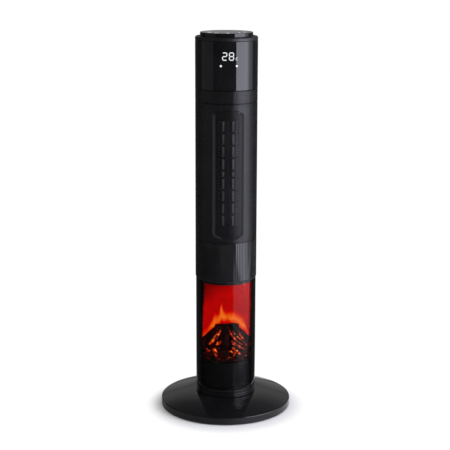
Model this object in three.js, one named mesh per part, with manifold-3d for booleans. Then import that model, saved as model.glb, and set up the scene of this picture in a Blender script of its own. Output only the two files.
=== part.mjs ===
// A tower heater: a slim round column that swings on a round weighted base. From the floor up the column
// holds a lit flame section, a pinstriped collar, a ceramic fan heater behind a recessed outlet, a dotted
// band, a gloss head with a display, and a raised round control cap.
// Millimetres, +Z up, the front faces -Y. The origin is the centre of the underside, on the floor.
import * as THREE from 'three';
import { mergeVertices } from 'three/addons/utils/BufferGeometryUtils.js';
import Module from 'manifold-3d';

const wasm = await Module();
wasm.setup();

// Driving dimensions
const BASE_RADIUS = 138.7;
const FLOOR_GAP = 1.5;
const RIM_HEIGHT = 14.7;
const DOME_RISE = 15.8;
const HUB_MARGIN = 1.5;
const FOOT_RING_HEIGHT = 13.7;
const SWING_GAP = 1;
const COLUMN_RADIUS = 64.5;
const COLUMN_STEP = 1.1;
const LANTERN_HEIGHT = 238;
const DECK_GAP = 2;
const COLLAR_HEIGHT = 82.4;
const PANEL_HEIGHT = 288.6;
const BAND_HEIGHT = 26.1;
const HEAD_HEIGHT = 98.1;
const SHOULDER_HEIGHT = 7.4;
const CAP_RISE = 8;
const CAP_STEP = 10.2;
const WALL = 2.4;
const SEAT = 0.3;
const SEAM = 0.6;
const OVERRUN = 1.5;

// Radii and levels that follow from them
const HUB_RADIUS = COLUMN_RADIUS + HUB_MARGIN;
const LANTERN_RADIUS = COLUMN_RADIUS - COLUMN_STEP;
const CAP_RADIUS = COLUMN_RADIUS - CAP_STEP;
const SKIRT_Z = FLOOR_GAP;
const RIM_Z = SKIRT_Z + RIM_HEIGHT;
const HUB_Z = RIM_Z + DOME_RISE;
const FOOT_RING_Z = HUB_Z + SEAT;
const FOOT_RING_TOP = FOOT_RING_Z + FOOT_RING_HEIGHT;
const LANTERN_Z = FOOT_RING_TOP + SWING_GAP;
const LANTERN_TOP = LANTERN_Z + LANTERN_HEIGHT;
const COLLAR_Z = LANTERN_TOP + DECK_GAP;
const COLLAR_TOP = COLLAR_Z + COLLAR_HEIGHT;
const PANEL_Z = COLLAR_TOP + SEAM;
const PANEL_TOP = PANEL_Z + PANEL_HEIGHT;
const BAND_Z = PANEL_TOP + SEAM;
const BAND_TOP = BAND_Z + BAND_HEIGHT;
const HEAD_Z = BAND_TOP + SEAM;
const HEAD_TOP = HEAD_Z + HEAD_HEIGHT;
const SHOULDER_Z = HEAD_TOP + SEAM;
const SHOULDER_TOP = SHOULDER_Z + SHOULDER_HEIGHT;
const TOP_Z = SHOULDER_TOP + CAP_RISE;

// How many flats a round has
const BASE_SIDES = 40;
const COLUMN_SIDES = 32;
const MEDIUM_SIDES = 20;
const SMALL_SIDES = 10;

const QUARTER = Math.PI / 2;
const HALF = Math.PI;
const FULL = Math.PI * 2;
const FRONT = -QUARTER;
const REAR = QUARTER;

function degrees(angle) {
  return angle * HALF / 180;
}

// Solid helpers: a geometry becomes a manifold solid with its faces out, and comes back as a geometry
function solid(geometry) {
  const bare = geometry.index ? geometry.toNonIndexed() : geometry.clone();
  bare.deleteAttribute('normal');
  bare.deleteAttribute('uv');
  const merged = mergeVertices(bare);
  const corners = merged.index.array;
  const places = merged.attributes.position;
  const kept = [];
  const points = [new THREE.Vector3(), new THREE.Vector3(), new THREE.Vector3()];
  let volume = 0;
  for (let i = 0; i < corners.length; i += 3) {
    const [a, b, c] = [corners[i], corners[i + 1], corners[i + 2]];
    if (a === b || b === c || a === c) continue;
    kept.push(a, b, c);
    [a, b, c].forEach((corner, k) => points[k].fromBufferAttribute(places, corner));
    volume += points[0].dot(points[1].clone().cross(points[2]));
  }
  if (volume < 0) {
    for (let i = 0; i < kept.length; i += 3) [kept[i + 1], kept[i + 2]] = [kept[i + 2], kept[i + 1]];
  }
  const mesh = new wasm.Mesh({
    numProp: 3,
    vertProperties: places.array,
    triVerts: new Uint32Array(kept),
  });
  return new wasm.Manifold(mesh);
}

function geometryOf(made) {
  const mesh = made.getMesh();
  const geometry = new THREE.BufferGeometry();
  const places = new Float32Array(mesh.numVert * 3);
  for (let v = 0; v < mesh.numVert; v += 1) {
    for (let k = 0; k < 3; k += 1) places[v * 3 + k] = mesh.vertProperties[v * mesh.numProp + k];
  }
  geometry.setAttribute('position', new THREE.BufferAttribute(places, 3));
  geometry.setIndex(new THREE.BufferAttribute(new Uint32Array(mesh.triVerts), 1));
  geometry.computeVertexNormals();
  return geometry;
}

function joined(...pieces) {
  return geometryOf(pieces.map(solid).reduce((whole, piece) => whole.add(piece)));
}

function cut(piece, ...tools) {
  return geometryOf(tools.map(solid).reduce((whole, tool) => whole.subtract(tool), solid(piece)));
}

function common(piece, other) {
  return geometryOf(solid(piece).intersect(solid(other)));
}

// Shape helpers
function moved(geometry, x, y, z) {
  return geometry.clone().translate(x, y, z);
}

function box(x0, x1, y0, y1, z0, z1) {
  const block = new THREE.BoxGeometry(x1 - x0, y1 - y0, z1 - z0);
  return moved(block, (x0 + x1) / 2, (y0 + y1) / 2, (z0 + z1) / 2);
}

// A closed profile of [radius, height] points turned about the Z axis
function turned(profile, sides) {
  const points = profile.map(([radius, height]) => new THREE.Vector2(radius, height));
  points.push(points[0].clone());
  return new THREE.LatheGeometry(points, sides).rotateX(QUARTER).rotateZ(QUARTER);
}

function rod(radius, z0, z1, sides) {
  return turned([[0, z0], [radius, z0], [radius, z1], [0, z1]], sides);
}

function tube(outer, inner, z0, z1, sides) {
  return turned([[inner, z0], [outer, z0], [outer, z1], [inner, z1]], sides);
}

// A rod along X, or along Y, made by laying an upright one down
function rodX(radius, x0, x1, y, z, sides) {
  return moved(rod(radius, x0, x1, sides).rotateY(QUARTER), 0, y, z);
}

function rodY(radius, y0, y1, x, z, sides) {
  return moved(rod(radius, y0, y1, sides).rotateX(-QUARTER), x, 0, z);
}

// An outline of [x, y] points drawn upright from z0 to z1
function prism(outline, z0, z1) {
  const shape = new THREE.Shape(outline.map(([x, y]) => new THREE.Vector2(x, y)));
  return moved(new THREE.ExtrudeGeometry(shape, { depth: z1 - z0, bevelEnabled: false }), 0, 0, z0);
}

function arcPoints(radius, from, to, steps) {
  const points = [];
  for (let i = 0; i <= steps; i += 1) {
    const angle = from + (to - from) * i / steps;
    points.push([radius * Math.cos(angle), radius * Math.sin(angle)]);
  }
  return points;
}

// A stretch of upright round wall between two angles
function arcWall(outer, inner, from, to, z0, z1) {
  const steps = Math.max(2, Math.round(COLUMN_SIDES * (to - from) / FULL));
  const outline = [...arcPoints(outer, from, to, steps), ...arcPoints(inner, to, from, steps)];
  return prism(outline, z0, z1);
}

function around(count, start, make) {
  return Array.from({ length: count }, (_, i) => make(start + FULL * i / count, i));
}

function at(radius, angle) {
  return [radius * Math.cos(angle), radius * Math.sin(angle)];
}

// The group and its finishes
const heater = new THREE.Group();

function finish(colour, roughness, metalness) {
  return () => new THREE.MeshStandardMaterial({ color: colour, roughness, metalness });
}

const glossBlack = finish(0x121213, 0.12, 0);
const satinBlack = finish(0x1b1b1d, 0.45, 0);
const plainBlack = finish(0x151515, 0.7, 0);
const rubberBlack = finish(0x0e0e0e, 0.95, 0);
const steel = finish(0xa9abad, 0.35, 1);
const castIron = finish(0x3a3b3d, 0.75, 0.8);
const aluminium = finish(0xc9cbce, 0.35, 1);
const paleNylon = finish(0xdedbd0, 0.5, 0);
const circuitGreen = finish(0x1f5a35, 0.5, 0);
const smokedClear = finish(0x1a1212, 0.08, 0);
const emberOrange = finish(0xd8481a, 0.5, 0);
const flameRed = finish(0xb31208, 0.45, 0);
const logBrown = finish(0x2a1c15, 0.9, 0);
const copper = finish(0xb5693a, 0.4, 1);
const mica = finish(0xb9a27a, 0.7, 0);

function add(name, geometry, material) {
  const mesh = new THREE.Mesh(geometry, material());
  mesh.name = name;
  heater.add(mesh);
  return mesh;
}

// Base: what its pieces share
const BASE_WALL = 2.8;
const RIM_ROUND = 3;
const PLATE_THICKNESS = 2.5;
const PLATE_GAP = 0.5;
const HUB_LAND = 5.4;
const HUB_OPENING_RADIUS = LANTERN_RADIUS - HUB_LAND;
const FOOT_RADIUS = 9;
const FOOT_STEM_RADIUS = 3;
const FOOT_STEM_RISE = 1.9;
const FOOT_INSET = 20.7;
const FOOT_CIRCLE = BASE_RADIUS - FOOT_INSET;
const SCREW_HEAD_RADIUS = 3.2;
const SCREW_SHANK_RADIUS = 1.5;
const SCREW_HEAD_HEIGHT = 1.7;
const SCREW_LENGTH = 13;
const BOSS_RADIUS = 4.6;
const BALLAST_INSET = 26.7;
const BALLAST_OUTER = BASE_RADIUS - BALLAST_INSET;
const BALLAST_WIDTH = 46;
const BALLAST_INNER = BALLAST_OUTER - BALLAST_WIDTH;
const BALLAST_HEIGHT = 7;
const SCREW_INSET = 20;
const SCREW_CIRCLE = BALLAST_OUTER - SCREW_INSET;
const PLATE_Z = SKIRT_Z;
const PLATE_TOP = PLATE_Z + PLATE_THICKNESS;
const BALLAST_Z = PLATE_TOP + SEAT;
const BALLAST_TOP = BALLAST_Z + BALLAST_HEIGHT;
const SCREW_Z = PLATE_Z + SEAT;
const FEET = 4;
const FOOT_START = degrees(45);
const SCREW_START = 0;

// The dome of the base cover falls from the hub to the rim on a smooth curve
const DOME_POWER = 1.5;

function domeHeight(radius) {
  const share = (radius - HUB_RADIUS) / (BASE_RADIUS - RIM_ROUND - HUB_RADIUS);
  return RIM_Z + DOME_RISE * (1 - Math.max(0, share) ** DOME_POWER);
}

// Swing motor and its gears
const GEAR_MODULE = 1.5;
const RING_TEETH = 60;
const PINION_TEETH = 12;
const GEAR_CENTRES = GEAR_MODULE * (RING_TEETH - PINION_TEETH) / 2;
const MOTOR_ANGLE = FRONT;
const SWING_MOTOR_RADIUS = 23.5;
const SWING_MOTOR_HEIGHT = 17;
const SWING_MOTOR_NOSE_RADIUS = 8;
const SWING_MOTOR_NOSE_HEIGHT = 3.5;
const PINION_SHAFT_RADIUS = 2.5;
const SHAFT_SEAT_DEPTH = 4;
const RUNNING_GAP = 0.4;
const RING_WEB = 3;
const RING_CHAMFER = 1.2;
const RING_GROOVE_DEPTH = 0.8;
const RING_GROOVE_HEIGHT = 0.9;
const RING_LIP = 0.6;

// Spindle and its bush
const SPINDLE_RADIUS = 11;
const SPINDLE_BORE = 8;
const SPINDLE_DROP = 23;
const BUSH_RADIUS = 15;
const BUSH_FLANGE_RADIUS = 18;
const BUSH_FLANGE_HEIGHT = 1.9;
const BUSH_DROP = 1.8;
const SPINDLE_CLEARANCE = 0.3;
const CLIP_RADIUS = 14.5;
const CLIP_GROOVE_DEPTH = 0.9;
const CLIP_HEIGHT = 1.3;
const CLIP_MOUTH = 8;
const RING_WEB_TOP = FOOT_RING_Z + RING_WEB;
const BUSH_BOTTOM = FOOT_RING_Z - BUSH_DROP;
const CLIP_TOP = BUSH_BOTTOM - SEAT;
const CLIP_BOTTOM = CLIP_TOP - CLIP_HEIGHT;

// Cord gland in the rear of the rim: a short tube with a clamp block inside the base
const GLAND_RADIUS = 4.3;
const GLAND_BORE = 3.2;
const GLAND_REACH = 14;
const GLAND_INSET = 0.5;
const CLAMP_WIDTH = 16;
const CLAMP_DEPTH = 7;
const CLAMP_HEIGHT = 8.6;
const GLAND_Z = PLATE_TOP + SEAT + CLAMP_HEIGHT / 2;
const GLAND_END = Math.sqrt(BASE_RADIUS ** 2 - GLAND_RADIUS ** 2) - GLAND_INSET;

// Tip-over switch: its plunger stands on the floor through the bottom plate
const TIP_INSET = 22.6;
const TIP_CIRCLE = BALLAST_OUTER - TIP_INSET;
const TIP_ANGLE = degrees(-130);
const [TIP_X, TIP_Y] = at(TIP_CIRCLE, TIP_ANGLE);
const TIP_LENGTH = 20;
const TIP_WIDTH = 14;
const TIP_HEIGHT = 16;
const TIP_FLOOR = 2;
const TIP_CAVITY_RADIUS = 4.6;
const TIP_CAVITY_HEIGHT = 10;
const PLUNGER_RADIUS = 2.5;
const PLUNGER_COLLAR_RADIUS = 4.2;
const PLUNGER_COLLAR_HEIGHT = 1.2;
const PLUNGER_TRAVEL = 4;
const PLUNGER_NIB = 1.5;
const PLUNGER_FLOOR_GAP = 0.4;
const PLUNGER_CLEARANCE = 0.4;
const TIP_Z = PLATE_TOP + SEAT;
const POCKET_CLEARANCE = 1.2;

function baseCover() {
  const inner = BASE_RADIUS - BASE_WALL;
  const land = BASE_RADIUS - RIM_ROUND;
  const domeShares = [2 / 3, 1 / 3];
  const roundShares = [1 / 2];
  const along = (share) => HUB_RADIUS + (land - HUB_RADIUS) * share;
  const profile = [
    [inner, SKIRT_Z],
    [BASE_RADIUS, SKIRT_Z],
    [BASE_RADIUS, RIM_Z - RIM_ROUND],
    ...roundShares.map((share) => [
      land + RIM_ROUND * Math.cos(QUARTER * share),
      RIM_Z - RIM_ROUND + RIM_ROUND * Math.sin(QUARTER * share),
    ]),
    [land, RIM_Z],
    ...domeShares.map((share) => [along(share), domeHeight(along(share))]),
    [HUB_RADIUS, HUB_Z],
    [HUB_OPENING_RADIUS, HUB_Z],
    [HUB_OPENING_RADIUS, HUB_Z - BASE_WALL],
    [HUB_RADIUS, HUB_Z - BASE_WALL],
    ...domeShares.toReversed().map((share) => [along(share), domeHeight(along(share)) - BASE_WALL]),
    [inner, RIM_Z - BASE_WALL],
  ];
  const bossTop = domeHeight(SCREW_CIRCLE) - BASE_WALL / 2;
  const holeTop = SCREW_Z + SCREW_LENGTH + SEAT;
  const bosses = around(FEET, SCREW_START, (angle) => {
    return moved(rod(BOSS_RADIUS, PLATE_TOP + SEAT, bossTop, SMALL_SIDES), ...at(SCREW_CIRCLE, angle), 0);
  });
  const holes = around(FEET, SCREW_START, (angle) => {
    const hole = rod(SCREW_SHANK_RADIUS + SEAT, PLATE_TOP, holeTop, SMALL_SIDES);
    return moved(hole, ...at(SCREW_CIRCLE, angle), 0);
  });
  const glandOut = BASE_RADIUS + OVERRUN;
  const glandHole = rodY(GLAND_RADIUS + SEAT, inner - OVERRUN, glandOut, 0, GLAND_Z, SMALL_SIDES);
  return cut(joined(turned(profile, BASE_SIDES), ...bosses), ...holes, glandHole);
}

function screw() {
  return turned([
    [0, SCREW_Z],
    [SCREW_HEAD_RADIUS, SCREW_Z],
    [SCREW_SHANK_RADIUS, SCREW_Z + SCREW_HEAD_HEIGHT],
    [SCREW_SHANK_RADIUS, SCREW_Z + SCREW_LENGTH],
    [0, SCREW_Z + SCREW_LENGTH],
  ], SMALL_SIDES);
}

function screwSink() {
  const head = SCREW_HEAD_RADIUS + SEAT;
  const shank = SCREW_SHANK_RADIUS + SEAT;
  return turned([
    [0, PLATE_Z - OVERRUN],
    [head, PLATE_Z - OVERRUN],
    [head, SCREW_Z],
    [shank, SCREW_Z + SCREW_HEAD_HEIGHT],
    [shank, PLATE_TOP + OVERRUN],
    [0, PLATE_TOP + OVERRUN],
  ], SMALL_SIDES);
}

function rubberFoot() {
  const top = FLOOR_GAP - SEAT;
  const stemTop = PLATE_TOP + FOOT_STEM_RISE;
  return turned([
    [0, 0],
    [FOOT_RADIUS, 0],
    [FOOT_RADIUS, top],
    [FOOT_STEM_RADIUS, top],
    [FOOT_STEM_RADIUS, stemTop],
    [0, stemTop],
  ], SMALL_SIDES);
}

function basePlate() {
  const plate = rod(BASE_RADIUS - BASE_WALL - PLATE_GAP, PLATE_Z, PLATE_TOP, BASE_SIDES);
  const hole = (radius) => rod(radius, PLATE_Z - OVERRUN, PLATE_TOP + OVERRUN, SMALL_SIDES);
  const stems = around(FEET, FOOT_START, (angle) => {
    return moved(hole(FOOT_STEM_RADIUS + SEAT), ...at(FOOT_CIRCLE, angle), 0);
  });
  const sinks = around(FEET, SCREW_START, (angle) => moved(screwSink(), ...at(SCREW_CIRCLE, angle), 0));
  const plunger = moved(hole(PLUNGER_RADIUS + PLUNGER_CLEARANCE), TIP_X, TIP_Y, 0);
  return cut(plate, ...stems, ...sinks, plunger);
}

function ballast() {
  const ring = tube(BALLAST_OUTER, BALLAST_INNER, BALLAST_Z, BALLAST_TOP, COLUMN_SIDES);
  const low = BALLAST_Z - OVERRUN;
  const high = BALLAST_TOP + OVERRUN;
  const bosses = around(FEET, SCREW_START, (angle) => {
    return moved(rod(BOSS_RADIUS + SEAT, low, high, SMALL_SIDES), ...at(SCREW_CIRCLE, angle), 0);
  });
  const halfLength = TIP_LENGTH / 2 + POCKET_CLEARANCE;
  const halfWidth = TIP_WIDTH / 2 + POCKET_CLEARANCE;
  const pocket = box(
    TIP_X - halfLength,
    TIP_X + halfLength,
    TIP_Y - halfWidth,
    TIP_Y + halfWidth,
    low,
    high,
  );
  return cut(ring, ...bosses, pocket);
}

function footRing() {
  const grooveZ = RING_WEB_TOP + SEAT;
  const inside = LANTERN_RADIUS - WALL;
  const ring = turned([
    [BUSH_RADIUS + SEAT, FOOT_RING_Z],
    [LANTERN_RADIUS - RING_CHAMFER, FOOT_RING_Z],
    [LANTERN_RADIUS, FOOT_RING_Z + RING_CHAMFER],
    [LANTERN_RADIUS, grooveZ],
    [LANTERN_RADIUS - RING_GROOVE_DEPTH, grooveZ],
    [LANTERN_RADIUS - RING_GROOVE_DEPTH, grooveZ + RING_GROOVE_HEIGHT],
    [LANTERN_RADIUS, grooveZ + RING_GROOVE_HEIGHT],
    [LANTERN_RADIUS, FOOT_RING_TOP - RING_LIP],
    [LANTERN_RADIUS - RING_LIP, FOOT_RING_TOP],
    [inside, FOOT_RING_TOP],
    [inside, RING_WEB_TOP],
    [BUSH_RADIUS + SEAT, RING_WEB_TOP],
  ], COLUMN_SIDES);
  const webTop = RING_WEB_TOP + OVERRUN;
  const hole = rod(PINION_SHAFT_RADIUS + RUNNING_GAP, FOOT_RING_Z - OVERRUN, webTop, SMALL_SIDES);
  return cut(ring, moved(hole, ...at(GEAR_CENTRES, MOTOR_ANGLE), 0));
}

function spindleBush() {
  const bore = SPINDLE_RADIUS + SPINDLE_CLEARANCE;
  const flangeZ = RING_WEB_TOP + SEAT;
  return turned([
    [bore, BUSH_BOTTOM],
    [BUSH_RADIUS, BUSH_BOTTOM],
    [BUSH_RADIUS, flangeZ],
    [BUSH_FLANGE_RADIUS, flangeZ],
    [BUSH_FLANGE_RADIUS, flangeZ + BUSH_FLANGE_HEIGHT],
    [bore, flangeZ + BUSH_FLANGE_HEIGHT],
  ], MEDIUM_SIDES);
}

// Gears: straight-flanked teeth, thinned so that they run free
const TOOTH_REACH = 0.8 * GEAR_MODULE;
const TOOTH_ROOT = 1.1 * GEAR_MODULE;
const GEAR_HEIGHT = 7.6;
const TOOTH_HEIGHT = 6.8;
const RING_GEAR_WALL = 3.4;
const TURNTABLE_UNDERSIDE = LANTERN_Z;
const RING_GEAR_TOP = TURNTABLE_UNDERSIDE - SEAT;
const PINION_TOP = RING_GEAR_TOP - RUNNING_GAP;
const PINION_BOTTOM = PINION_TOP - TOOTH_HEIGHT;
const SWING_MOTOR_TOP = FOOT_RING_Z - SEAT - SWING_MOTOR_NOSE_HEIGHT;
const SWING_MOTOR_BOTTOM = SWING_MOTOR_TOP - SWING_MOTOR_HEIGHT;

// One gear's outline: each tooth is tipShare of the pitch wide at its tip and rootShare at its root
function gearOutline(teeth, rootRadius, tipRadius, rootShare, tipShare, start) {
  const pitch = FULL / teeth;
  return around(teeth, start, (angle) => [
    at(rootRadius, angle - pitch * rootShare / 2),
    at(tipRadius, angle - pitch * tipShare / 2),
    at(tipRadius, angle + pitch * tipShare / 2),
    at(rootRadius, angle + pitch * rootShare / 2),
  ]).flat();
}

function ringGear() {
  const pitchRadius = GEAR_MODULE * RING_TEETH / 2;
  const rootRadius = pitchRadius + TOOTH_ROOT;
  const tipRadius = pitchRadius - TOOTH_REACH;
  const rootShare = 0.56;
  const tipShare = 0.26;
  const toothSpace = HALF / RING_TEETH;
  const start = MOTOR_ANGLE + toothSpace;
  const outline = gearOutline(RING_TEETH, rootRadius, tipRadius, rootShare, tipShare, start);
  const bottom = RING_GEAR_TOP - GEAR_HEIGHT;
  const blank = rod(rootRadius + RING_GEAR_WALL, bottom, RING_GEAR_TOP, COLUMN_SIDES);
  return cut(blank, prism(outline, bottom - OVERRUN, RING_GEAR_TOP + OVERRUN));
}

function pinion() {
  const pitchRadius = GEAR_MODULE * PINION_TEETH / 2;
  const rootRadius = pitchRadius - TOOTH_ROOT;
  const tipRadius = pitchRadius + TOOTH_REACH;
  const rootShare = 0.6;
  const tipShare = 0.2;
  const outline = gearOutline(PINION_TEETH, rootRadius, tipRadius, rootShare, tipShare, MOTOR_ANGLE);
  const shaftBottom = SWING_MOTOR_TOP;
  const shaft = rod(PINION_SHAFT_RADIUS, shaftBottom, PINION_BOTTOM + OVERRUN, SMALL_SIDES);
  const gear = joined(prism(outline, PINION_BOTTOM, PINION_TOP), shaft);
  return moved(gear, ...at(GEAR_CENTRES, MOTOR_ANGLE), 0);
}

function swingMotor() {
  const noseTop = SWING_MOTOR_TOP + SWING_MOTOR_NOSE_HEIGHT;
  const boreBottom = SWING_MOTOR_TOP - SHAFT_SEAT_DEPTH;
  const bore = PINION_SHAFT_RADIUS + RUNNING_GAP;
  const body = turned([
    [0, SWING_MOTOR_BOTTOM],
    [SWING_MOTOR_RADIUS, SWING_MOTOR_BOTTOM],
    [SWING_MOTOR_RADIUS, SWING_MOTOR_TOP],
    [SWING_MOTOR_NOSE_RADIUS, SWING_MOTOR_TOP],
    [SWING_MOTOR_NOSE_RADIUS, noseTop],
    [bore, noseTop],
    [bore, boreBottom],
    [0, boreBottom],
  ], MEDIUM_SIDES);
  return moved(body, ...at(GEAR_CENTRES, MOTOR_ANGLE), 0);
}

// A low-friction ring on the foot ring's web, under the rim of the turntable
const THRUST_OUTER = 56.5;
const THRUST_INNER = 52.5;

function thrustRing() {
  return tube(THRUST_OUTER, THRUST_INNER, RING_WEB_TOP + SEAT, TURNTABLE_UNDERSIDE - SEAT, COLUMN_SIDES);
}

function cordGland() {
  const start = GLAND_END - GLAND_REACH;
  const half = CLAMP_WIDTH / 2;
  const low = PLATE_TOP + SEAT;
  const block = box(-half, half, start, start + CLAMP_DEPTH, low, low + CLAMP_HEIGHT);
  const sleeve = rodY(GLAND_RADIUS, start + OVERRUN, GLAND_END, 0, GLAND_Z, SMALL_SIDES);
  const bore = rodY(GLAND_BORE, start - OVERRUN, GLAND_END + OVERRUN, 0, GLAND_Z, SMALL_SIDES);
  return cut(joined(block, sleeve), bore);
}

function tipSwitchBody() {
  const halfLength = TIP_LENGTH / 2;
  const halfWidth = TIP_WIDTH / 2;
  const cavityZ = TIP_Z + TIP_FLOOR;
  const body = box(-halfLength, halfLength, -halfWidth, halfWidth, TIP_Z, TIP_Z + TIP_HEIGHT);
  const cavity = rod(TIP_CAVITY_RADIUS, cavityZ, cavityZ + TIP_CAVITY_HEIGHT, SMALL_SIDES);
  const neck = rod(PLUNGER_RADIUS + PLUNGER_CLEARANCE, TIP_Z - OVERRUN, cavityZ + OVERRUN, SMALL_SIDES);
  return moved(cut(body, cavity, neck), TIP_X, TIP_Y, 0);
}

function tipSwitchPlunger() {
  const collarZ = TIP_Z + TIP_FLOOR + SEAT + PLUNGER_TRAVEL;
  const collarTop = collarZ + PLUNGER_COLLAR_HEIGHT;
  const plunger = turned([
    [0, PLUNGER_FLOOR_GAP],
    [PLUNGER_RADIUS, PLUNGER_FLOOR_GAP],
    [PLUNGER_RADIUS, collarZ],
    [PLUNGER_COLLAR_RADIUS, collarZ],
    [PLUNGER_COLLAR_RADIUS, collarTop],
    [PLUNGER_RADIUS, collarTop],
    [PLUNGER_RADIUS, collarTop + PLUNGER_NIB],
    [0, collarTop + PLUNGER_NIB],
  ], SMALL_SIDES);
  return moved(plunger, TIP_X, TIP_Y, 0);
}

add('base_cover', baseCover(), glossBlack);
add('base_weight', ballast(), castIron);
add('base_plate', basePlate(), plainBlack);
around(FEET, FOOT_START, (angle, i) => {
  add(`rubber_foot_${i + 1}`, moved(rubberFoot(), ...at(FOOT_CIRCLE, angle), 0), rubberBlack);
});
around(FEET, SCREW_START, (angle, i) => {
  add(`base_screw_${i + 1}`, moved(screw(), ...at(SCREW_CIRCLE, angle), 0), steel);
});
add('foot_ring', footRing(), glossBlack);
add('spindle_bush', spindleBush(), paleNylon);
add('thrust_ring', thrustRing(), paleNylon);
add('swing_motor', swingMotor(), steel);
add('swing_pinion', pinion(), paleNylon);
add('cord_gland', cordGland(), plainBlack);
add('tip_switch_body', tipSwitchBody(), paleNylon);
add('tip_switch_plunger', tipSwitchPlunger(), plainBlack);

// Turntable: the swinging floor of the column, with its hollow spindle
const TURNTABLE_FLANGE = 1.4;
const TURNTABLE_THICKNESS = 4.4;
const LANTERN_INSIDE = LANTERN_RADIUS - WALL;
const TURNTABLE_TOP = LANTERN_Z + TURNTABLE_THICKNESS;
const SHELL_Z = LANTERN_Z + TURNTABLE_FLANGE + SEAT;
const FLOOR_Z = TURNTABLE_TOP + SEAT;

function turntable() {
  const edge = LANTERN_RADIUS - SEAT;
  const inside = LANTERN_INSIDE - SEAT;
  const grooveRadius = SPINDLE_RADIUS - CLIP_GROOVE_DEPTH;
  const spindleBottom = LANTERN_Z - SPINDLE_DROP;
  return turned([
    [SPINDLE_BORE, spindleBottom],
    [SPINDLE_RADIUS, spindleBottom],
    [SPINDLE_RADIUS, CLIP_BOTTOM - SEAT],
    [grooveRadius, CLIP_BOTTOM - SEAT],
    [grooveRadius, CLIP_TOP + SEAT / 2],
    [SPINDLE_RADIUS, CLIP_TOP + SEAT / 2],
    [SPINDLE_RADIUS, TURNTABLE_UNDERSIDE],
    [edge, TURNTABLE_UNDERSIDE],
    [edge, LANTERN_Z + TURNTABLE_FLANGE],
    [inside, LANTERN_Z + TURNTABLE_FLANGE],
    [inside, TURNTABLE_TOP],
    [SPINDLE_BORE, TURNTABLE_TOP],
  ], COLUMN_SIDES);
}

// A split ring in the spindle's groove keeps the column down on its base
function spindleClip() {
  const inner = SPINDLE_RADIUS - CLIP_GROOVE_DEPTH + SEAT;
  const ring = tube(CLIP_RADIUS, inner, CLIP_BOTTOM, CLIP_TOP, MEDIUM_SIDES);
  const reach = CLIP_RADIUS + OVERRUN;
  const gap = box(-CLIP_MOUTH / 2, CLIP_MOUTH / 2, 0, reach, CLIP_BOTTOM - OVERRUN, CLIP_TOP + OVERRUN);
  return cut(ring, gap);
}

// Lantern shells: a smoked window round the front and an opaque shell round the rear
const WINDOW_ANGLE = degrees(200);
const SHELL_JOINT = degrees(0.4);

function flameWindow() {
  const half = WINDOW_ANGLE / 2 - SHELL_JOINT;
  return arcWall(LANTERN_RADIUS, LANTERN_INSIDE, FRONT - half, FRONT + half, SHELL_Z, LANTERN_TOP - SEAT);
}

function lanternRearShell() {
  const half = (FULL - WINDOW_ANGLE) / 2 - SHELL_JOINT;
  return arcWall(LANTERN_RADIUS, LANTERN_INSIDE, REAR - half, REAR + half, SHELL_Z, LANTERN_TOP - SEAT);
}

// Flame section: plinth, light board, ember bed, logs, screen, reflector and the turning flame rotor
const PLINTH_CLEARANCE = 4;
const PLINTH_RADIUS = LANTERN_INSIDE - PLINTH_CLEARANCE;
const PLINTH_WALL = 2;
const PLINTH_HEIGHT = 55;
const SCREEN_Y = 6;
const SCREEN_THICKNESS = 1.8;
const SCREEN_INSET = 5;
const SCREEN_HALF_WIDTH = PLINTH_RADIUS - SCREEN_INSET;
const SCREEN_STAND_OFF = 2;
const PLINTH_BACK = SCREEN_Y - SCREEN_STAND_OFF;
const PLINTH_TOP = FLOOR_Z + PLINTH_HEIGHT;
const LAMP_WINDOW_SHARE = 0.6;

// A D-shaped outline: a round front and a flat back
function dOutline(radius, back) {
  const end = Math.asin(back / radius);
  return arcPoints(radius, -HALF - end, end, COLUMN_SIDES / 2);
}

function logPlinth() {
  const outer = prism(dOutline(PLINTH_RADIUS, PLINTH_BACK), FLOOR_Z, PLINTH_TOP);
  const hollow = prism(
    dOutline(PLINTH_RADIUS - PLINTH_WALL, PLINTH_BACK - PLINTH_WALL),
    FLOOR_Z - OVERRUN,
    PLINTH_TOP - PLINTH_WALL,
  );
  const half = PLINTH_RADIUS * LAMP_WINDOW_SHARE;
  const window = box(-half, half, -half, 0, PLINTH_TOP - PLINTH_WALL - OVERRUN, PLINTH_TOP + OVERRUN);
  return cut(outer, hollow, window);
}

const BOARD_THICKNESS = 1.6;
const POST_HEIGHT = 22;
const POST_RADIUS = 3;
const LAMP_RADIUS = 3.5;
const LAMP_HEIGHT = 5;
const LIGHT_BOARD_SIDE_ROOM = 19;
const LIGHT_BOARD_FRONT_ROOM = 33;
const LIGHT_BOARD_DEPTH = 24;
const POST_INSET = 8;

function lightBoard() {
  const halfWidth = PLINTH_RADIUS - LIGHT_BOARD_SIDE_ROOM;
  const halfDepth = LIGHT_BOARD_DEPTH / 2;
  const centreY = LIGHT_BOARD_FRONT_ROOM - PLINTH_RADIUS;
  const postX = halfWidth - POST_INSET;
  const lampShares = [-0.75, -0.25, 0.25, 0.75];
  const boardZ = FLOOR_Z + POST_HEIGHT;
  const top = boardZ + BOARD_THICKNESS;
  const board = box(-halfWidth, halfWidth, centreY - halfDepth, centreY + halfDepth, boardZ, top);
  const posts = [-postX, postX].map((x) => {
    return moved(rod(POST_RADIUS, FLOOR_Z, boardZ + BOARD_THICKNESS / 2, SMALL_SIDES), x, centreY, 0);
  });
  const lamps = lampShares.map((share) => {
    const lamp = rod(LAMP_RADIUS, top - BOARD_THICKNESS / 2, top + LAMP_HEIGHT, SMALL_SIDES);
    return moved(lamp, halfWidth * share, centreY, 0);
  });
  return joined(board, ...posts, ...lamps);
}

const EMBER_HEIGHT = 6;
const EMBER_INSET = 1;
const EMBER_TOP = PLINTH_TOP + SEAT + EMBER_HEIGHT;

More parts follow.
